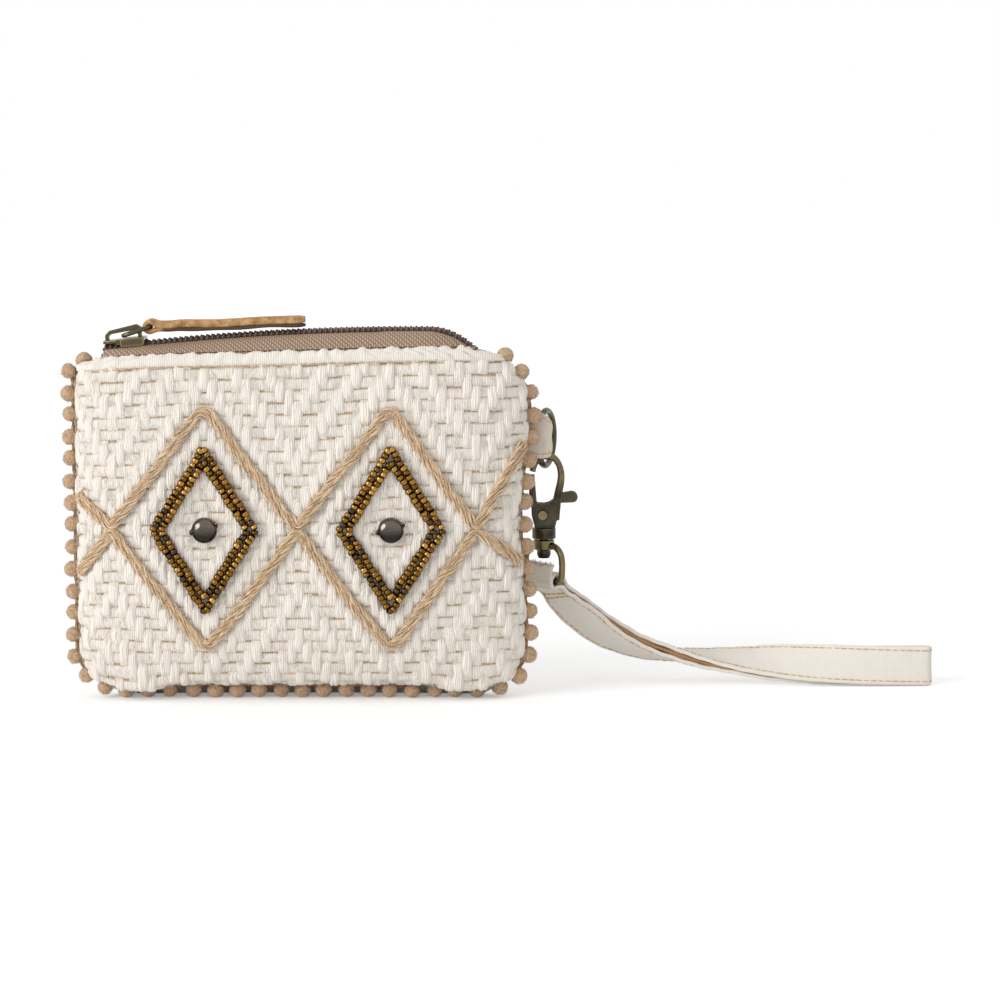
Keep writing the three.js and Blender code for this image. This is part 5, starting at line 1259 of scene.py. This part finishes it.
tab_curve = []
for i in range(len(TAB_LINE) - 1):
    a, b, c, d = (TAB_LINE[max(0, min(len(TAB_LINE) - 1, i + k))] for k in (-1, 0, 1, 2))
    for t in (0, 0.2, 0.4, 0.6, 0.8):
        tab_curve.append(0.5 * (2 * b + (c - a) * t + (2 * a - 5 * b + 4 * c - d) * t ** 2
                                + (3 * b - a - 3 * c + d) * t ** 3))
tab_curve.append(TAB_LINE[-1])
tab_points = []
for sheet in (1, -1):
    for i, place in enumerate(tab_curve):
        along = along_at(tab_curve, i)
        low, high = tab_span(i)
        for k in range(TAB_LEVELS + 1):
            z = low + (high - low) * k / TAB_LEVELS
            edge = 0.6 if k in (0, TAB_LEVELS) else 1
            wave = 0.12 * math.sin(z * 1.1 + i * 0.2)
            out = place + Vector((along.y, -along.x)) * (sheet * 0.45 * edge + wave)
            tab_points.append(Vector((out.x, out.y, z)))
tab = sheet_piece("tab_canvas", tab_points, TAB_LEVELS + 1, canvas)
fit(tab, "pouch", "cream_cotton", "side_tab")
places = []
for share in (0.1, 0.9):
    line = []
    for i in range(12, 26):
        along = along_at(tab_curve, i)
        low, high = tab_span(i)
        place = tab_curve[i] + Vector((along.y, -along.x)) * 0.5
        line.append(Vector((place.x, place.y, low + (high - low) * share)))
    places += stitch_places(line, 1.5, 0.3, 0.34)
tab_stitch = set_out("tab_stitching", stitch_unit, places, tan_thread, (0.05, 0.05, 0.05), (0.1, 0.1, 0.1), 3)
fit(tab_stitch, "pouch", "jute")


# Ring and swivel hook: antique brass castings and bent wire.
# The hook hangs on the ring; its lever turns on a rivet, and the eye turns on a headed pin.
ARM_FOOT, ARM_POLISH = 60, 0.6
RING_CENTRE, RING_RADIUS, RING_TURN = Vector((73.582, 12.804, 77.4)), 8.3, 0.31
HOOK_ORIGIN, EYE_TURN = Vector((73.082, 12.804, 70.679)), -0.812
EYE_SIDE = [(2.3, -25.85), (5.2, -26.15), (7.4, -28.05), (8.0, -31.05), (7.8, -35.2), (6.9, -36.5), (5.4, -36.7)]
EYE_BENDS = [0, 1.3, 1.3, 1.5, 0.8, 0.7, 0]
HUB_PROFILE = [(1.4, -27.3), (2.9, -27.4), (3.2, -27.1), (3.2, -24.6), (2.9, -24.3), (1.4, -24.4)]

for node_name, body, voxel, polish in (("hook_body", "hook", 0.15, 0.0), ("hook_trigger", "trigger", 0.12, 0.2),
                                       ("trigger_rivet", "hook", 0.08, 0.95), ("swivel_rivet", "hook", 0.12, 0.0)):
    on_arm = ARM_POLISH if node_name == "hook_body" else 0.0
    fit_brass(cast_copy(node_name, node_name + "_casting", voxel, 6), body, node_name,
              lambda place: polish + on_arm * min(1, max(0, (place.z - ARM_FOOT) / 5)))

# The ring is a round of wire, closed inside the tab.
flat_way = Vector((math.sin(RING_TURN), math.cos(RING_TURN), 0))
round_line = []
for i in range(72):
    angle = 2 * math.pi * i / 72
    round_line.append(RING_CENTRE + RING_RADIUS * (math.cos(angle) * flat_way + Vector((0, 0, math.sin(angle)))))
fit_brass(tube("ring_wire", round_line, 1, 12, old_brass, closed=True), "ring", "side_ring", lambda place: 0.25)

# The eye is a wire bent round a straight bar for the strap, with both its ends cast into a turned hub.
bar_line = Vector((math.cos(EYE_TURN), math.sin(EYE_TURN), 0))
bent = rounded_path(EYE_SIDE + [(-x, z) for x, z in reversed(EYE_SIDE)], False, EYE_BENDS + EYE_BENDS[::-1], 0.4)
eye_wire = tube("eye_wire", [HOOK_ORIGIN + bar_line * p.x + Vector((0, 0, p.y)) for p in bent], 1, 12, old_brass)
hub = turned_unit("hub", HUB_PROFILE, 36, True)
hub.data.transform(Matrix.Translation(HOOK_ORIGIN * MM) @ Matrix.Scale(MM, 4))
hub.data.materials.append(old_brass)
fit_brass(joined("swivel_eye_wire", [eye_wire, hub]), "eye", "swivel_eye", lambda place: 0.6)

# Spring steel: the lever's spring sits inside the slot, of plain drawn wire.
spring_steel, tree, shader = new_material("spring_steel")
drawn = node(tree, "TexNoise", {"Vector": in_mm(tree), "Scale": 3, "Detail": 3})
rough = node(tree, "MapRange", {0: drawn, 3: 0.25, 4: 0.45})
set_inputs(tree, shader, {"Base Color": srgb("9b9a96"), "Roughness": rough, "Metallic": 1})
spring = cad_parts["trigger_spring"].data
spring.materials.clear()
spring.materials.append(spring_steel)


# Wrist strap: a band of cream canvas, folded over the eye's bar, sewn to itself and turned back at its far end.
# It leaves the bar, lies down in a half twist and stands on its edge.
STRAP_WIDTH, STRAP_HALF_THICK, ROUTE_STEPS, TURN_STEPS = 12, 0.645, 8, 9
BAR = Vector((73.082, 12.804, 33.979))
STRAP_ROUTE = [
    (0, 0, BAR.z, 60), (2.7, 2.5, 31.4, 56), (5.5, 4.5, 28.2, 48), (9.1, 7, 24.2, 41), (13.5, 9.5, 20.2, 38),
    (18.1, 11.6, 16.6, 42), (23.7, 13.2, 13.4, 50), (29.9, 14.2, 10.8, 60), (38.9, 14.6, 8.6, 75),
    (48.9, 14.2, 7.2, 94), (59.9, 12.8, 6.6, 113), (71.9, 10.8, 6.3, 135), (84.9, 8.6, 6.2, 155),
    (97.9, 7.2, 6.2, 168), (108.9, 6.8, 6.2, 176), (117.9, 6.8, 6.2, 180),
]
BAND_LANES = [-1, -0.97, -0.9, -0.8, -0.6, -0.3, 0, 0.3, 0.6, 0.8, 0.9, 0.97, 1]
SEAM_LANE, BAR_SEAMS = 0.8, (6.5, 8.2)


def route_point(points, place):
    """A point on the smooth curve through the route, place counted in route points."""
    i = min(int(place), len(points) - 2)
    t = place - i
    first, second = points[i], points[i + 1]
    before = points[i - 1] if i > 0 else 2 * first - second
    after = points[i + 2] if i + 2 < len(points) else 2 * second - first
    gaps = [max(1e-6, (b - a).length ** 0.5) for a, b in ((before, first), (first, second), (second, after))]
    leave = (first - before) / gaps[0] - (second - before) / (gaps[0] + gaps[1]) + (second - first) / gaps[1]
    arrive = (second - first) / gaps[1] - (after - first) / (gaps[1] + gaps[2]) + (after - second) / gaps[2]
    leave, arrive = leave * gaps[1], arrive * gaps[1]
    cubic = 2 * first - 2 * second + leave + arrive
    square = -3 * first + 3 * second - 2 * leave - arrive
    return cubic * t ** 3 + square * t ** 2 + leave * t + first


def ease(value, low, high):
    t = min(1, max(0, (value - low) / (high - low)))
    return t * t * (3 - 2 * t)


# Its middle line carries a frame: the way along, across and through the band, the gap between its layers to either
# side, and the distance travelled from the bar.
route = [Vector((BAR.x + x, BAR.y + y, z)) for x, y, z, roll in STRAP_ROUTE]
end = len(route) - 1
strap_frames = []
travelled, last = 0, route[0]
for k in range(ROUTE_STEPS * end + 1):
    share = k / ROUTE_STEPS
    middle = route_point(route, share)
    travelled += (middle - last).length
    last = middle
    along = (route_point(route, min(share + 0.02, end)) - route_point(route, max(share - 0.02, 0))).normalized()
    i = min(int(share), end - 1)
    roll = math.radians(STRAP_ROUTE[i][3] + (STRAP_ROUTE[i + 1][3] - STRAP_ROUTE[i][3]) * (share - i))
    wide = Vector((0, -math.sin(roll), math.cos(roll)))
    if k == 0:
        along = (along - bar_line * along.dot(bar_line)).normalized()
        wide = bar_line.copy()
    wide = (wide - along * wide.dot(along)).normalized()
    gap = 2.25 - 1.35 * ease(travelled, 0, 5) + 0.5 * ease(travelled, 70, 120)
    gap += 0.55 * ease(travelled, 18, 36) * (1 - ease(travelled, 54, 72))
    strap_frames.append((middle, along, wide, along.cross(wide), gap, travelled))

# The band goes out on one side of that line, turns, comes back on the other and closes round the bar.
stations = []
for way, frames in ((1, strap_frames), (-1, strap_frames[::-1])):
    for middle, along, wide, normal, gap, travelled in frames:
        stations.append((middle + way * normal * gap, way * normal, wide))
    for k in range(1, TURN_STEPS):
        angle = math.pi * k / TURN_STEPS
        out = way * (normal * math.cos(angle) + along * math.sin(angle))
        stations.append((middle + out * gap, out, wide))
band_points, band_wraps = [], []
for (centre, out, wide), length in zip(stations, run_lengths([station[0] for station in stations])):
    for face, lanes in ((1, BAND_LANES), (-1, BAND_LANES[::-1])):
        for lane in lanes:
            rounded = math.sqrt(max(0.05, 1 - ((abs(lane) - 0.9) / 0.1) ** 2)) if abs(lane) > 0.9 else 1
            pucker = 0.1 * math.sin(length * 0.9 + lane * 2) * abs(lane) + 0.08 * math.sin(length * 0.37 + lane * 3)
            stitched = -0.12 if abs(lane) == SEAM_LANE else 0
            lift = face * (STRAP_HALF_THICK * rounded + stitched) + pucker
            band_points.append(centre + out * lift + wide * lane * STRAP_WIDTH / 2)
            band_wraps.append((length, 0, lane * STRAP_WIDTH / 2))

# Strap canvas: a firm cream cotton canvas, matt, turned in along both edges.
strap_canvas, tree, shader = new_material("cream_strap_canvas")
place = in_mm(tree, "cloth")
bump, threads = plain_weave(tree, place, 0.62, 0.15)
slub = node(tree, "TexNoise", {"Vector": place, "Scale": 0.6, "Detail": 4, "Roughness": 0.7})
tone = node(tree, "Mix", {0: slub, 6: srgb("ded8cc"), 7: srgb("fdfbf7")}, data_type="RGBA")
shaded = node(tree, "Mix", {0: threads, 6: srgb("dfd8cd"), 7: tone}, data_type="RGBA")
set_inputs(tree, shader, {"Base Color": shaded, "Normal": bump, "Roughness": 0.85})
strap = new_piece("strap_band", band_points, ring_faces(len(stations), 2 * len(BAND_LANES), True), strap_canvas)
face_out(strap)
mark(strap.data, "cloth", band_wraps, MM)
fit(strap, "strap", "strap_canvas", "wrist_strap")

# Stitches run along both edges, and two rows cross the band under the bar.
places = []
for lane in (-SEAM_LANE, SEAM_LANE):
    line = [centre + out * (STRAP_HALF_THICK - 0.05) + wide * lane * STRAP_WIDTH / 2
            for centre, out, wide in stations[4:-12]]
    places += stitch_places(line, 1.9, 0.35, 0.34)
for drop in BAR_SEAMS:
    middle, along, wide, normal, gap, travelled = min(strap_frames, key=lambda station: abs(station[5] - drop))
    for face in (1, -1):
        line = [middle + normal * face * (gap + 0.68) + wide * s * 0.5 for s in range(-10, 11)]
        places += stitch_places(line, 1.8, 0.3, 0.55)
strap_seams = set_out("strap_stitching", stitch_unit, places, tan_thread, (0.05, 0.05, 0.05), (0.1, 0.1, 0.1), 14)
bpy.data.objects.remove(stitch_unit)
fit(strap_seams, "strap", "jute")

# A brown sheet of fluffy cotton between the two layers, seen where they gape: painted shade in that gap.
gap_shade_cloth, tree, shader = new_material("brown_gap_shade")
fluff = node(tree, "TexNoise", {"Vector": in_mm(tree, "cloth"), "Scale": 1.6, "Detail": 4, "Roughness": 0.7})
tone = node(tree, "Mix", {0: fluff, 6: srgb("835a30"), 7: srgb("c29666")}, data_type="RGBA")
bump = node(tree, "Bump", {"Strength": 0.7, "Distance": 0.2 * MM, "Height": fluff})
set_inputs(tree, shader, {"Base Color": tone, "Normal": bump, "Roughness": 0.9})
# The sheet stands in for the shade between the gaping layers.
CORE_LANES = (-0.9, -0.3, 0.3, 0.75, 0.92)
core_points, core_wraps = [], []
shown = [station for station in strap_frames if 9 < station[5] < 84]
for face in (1, -1):
    for middle, along, wide, normal, gap, travelled in shown:
        fill = (gap - STRAP_HALF_THICK) * (0.7 + 0.2 * math.sin(travelled * 0.5))
        for lane in CORE_LANES:
            core_points.append(middle + wide * lane * STRAP_WIDTH / 2 + normal * face * fill)
            core_wraps.append((travelled, lane * STRAP_WIDTH / 2, 0))
gap_shade_sheet = sheet_piece("strap_interlining", core_points, len(CORE_LANES), gap_shade_cloth)
mark(gap_shade_sheet.data, "cloth", core_wraps, MM)
fit(gap_shade_sheet, "strap", "zip_tape", "wrist_strap")

# The strap's raw end stands up behind the bar, frayed into loose threads.
RAW_HALF_WIDTH, RAW_HEIGHT, RAW_ROWS, RAW_COLUMNS, FRAY_THREADS = 5.9, 5.2, 7, 9, 110
behind = bar_line.cross(Vector((0, 0, 1)))
flap_points = []
for sheet in (0.35, -0.35):
    for k in range(RAW_ROWS):
        rise = k / (RAW_ROWS - 1)
        for j in range(RAW_COLUMNS):
            side = (j / 4 - 1) * RAW_HALF_WIDTH
            curl = 2.6 - 0.9 * rise ** 2 + sheet + 0.25 * math.sin(j * 1.3 + k)
            flap_points.append(BAR + bar_line * side + behind * curl + Vector((0, 0, RAW_HEIGHT * rise)))
flap = sheet_piece("strap_raw_end", flap_points, RAW_COLUMNS, strap_canvas)
mark(flap.data, "cloth", [(p.z, 0, p.x * 1.4) for p in flap_points], MM)
thread_unit = new_piece("loose_thread", [(1000, 0, 0), (-500, 866, 0), (-500, -866, 0), (700, 2500, 500),
                                         (-800, 3300, 500), (-800, 1600, 500), (0, 1500, 1000)],
                        [(0, 1, 4, 3), (1, 2, 5, 4), (2, 0, 3, 5), (3, 4, 6), (4, 5, 6), (5, 3, 6)])
dice = random.Random(41)
frays = []
for _ in range(FRAY_THREADS):
    root = BAR + bar_line * dice.uniform(-RAW_HALF_WIDTH, RAW_HALF_WIDTH) + behind * dice.uniform(1.2, 2.4)
    lean = Vector((dice.gauss(0, 0.5), dice.gauss(0, 0.5), 1)).normalized()
    frays.append((root + Vector((0, 0, 4.6)), turn_to(lean), (0.11 * MM, 0.11 * MM, dice.uniform(0.8, 2.2) * MM)))
fray = set_out("strap_fray", thread_unit, frays, strap_canvas, (0.2, 0.2, 3), (0.1, 0.1, 0.2), 8)
bpy.data.objects.remove(thread_unit)
for piece in (flap, fray):
    fit(piece, "strap", "strap_canvas", "wrist_strap")
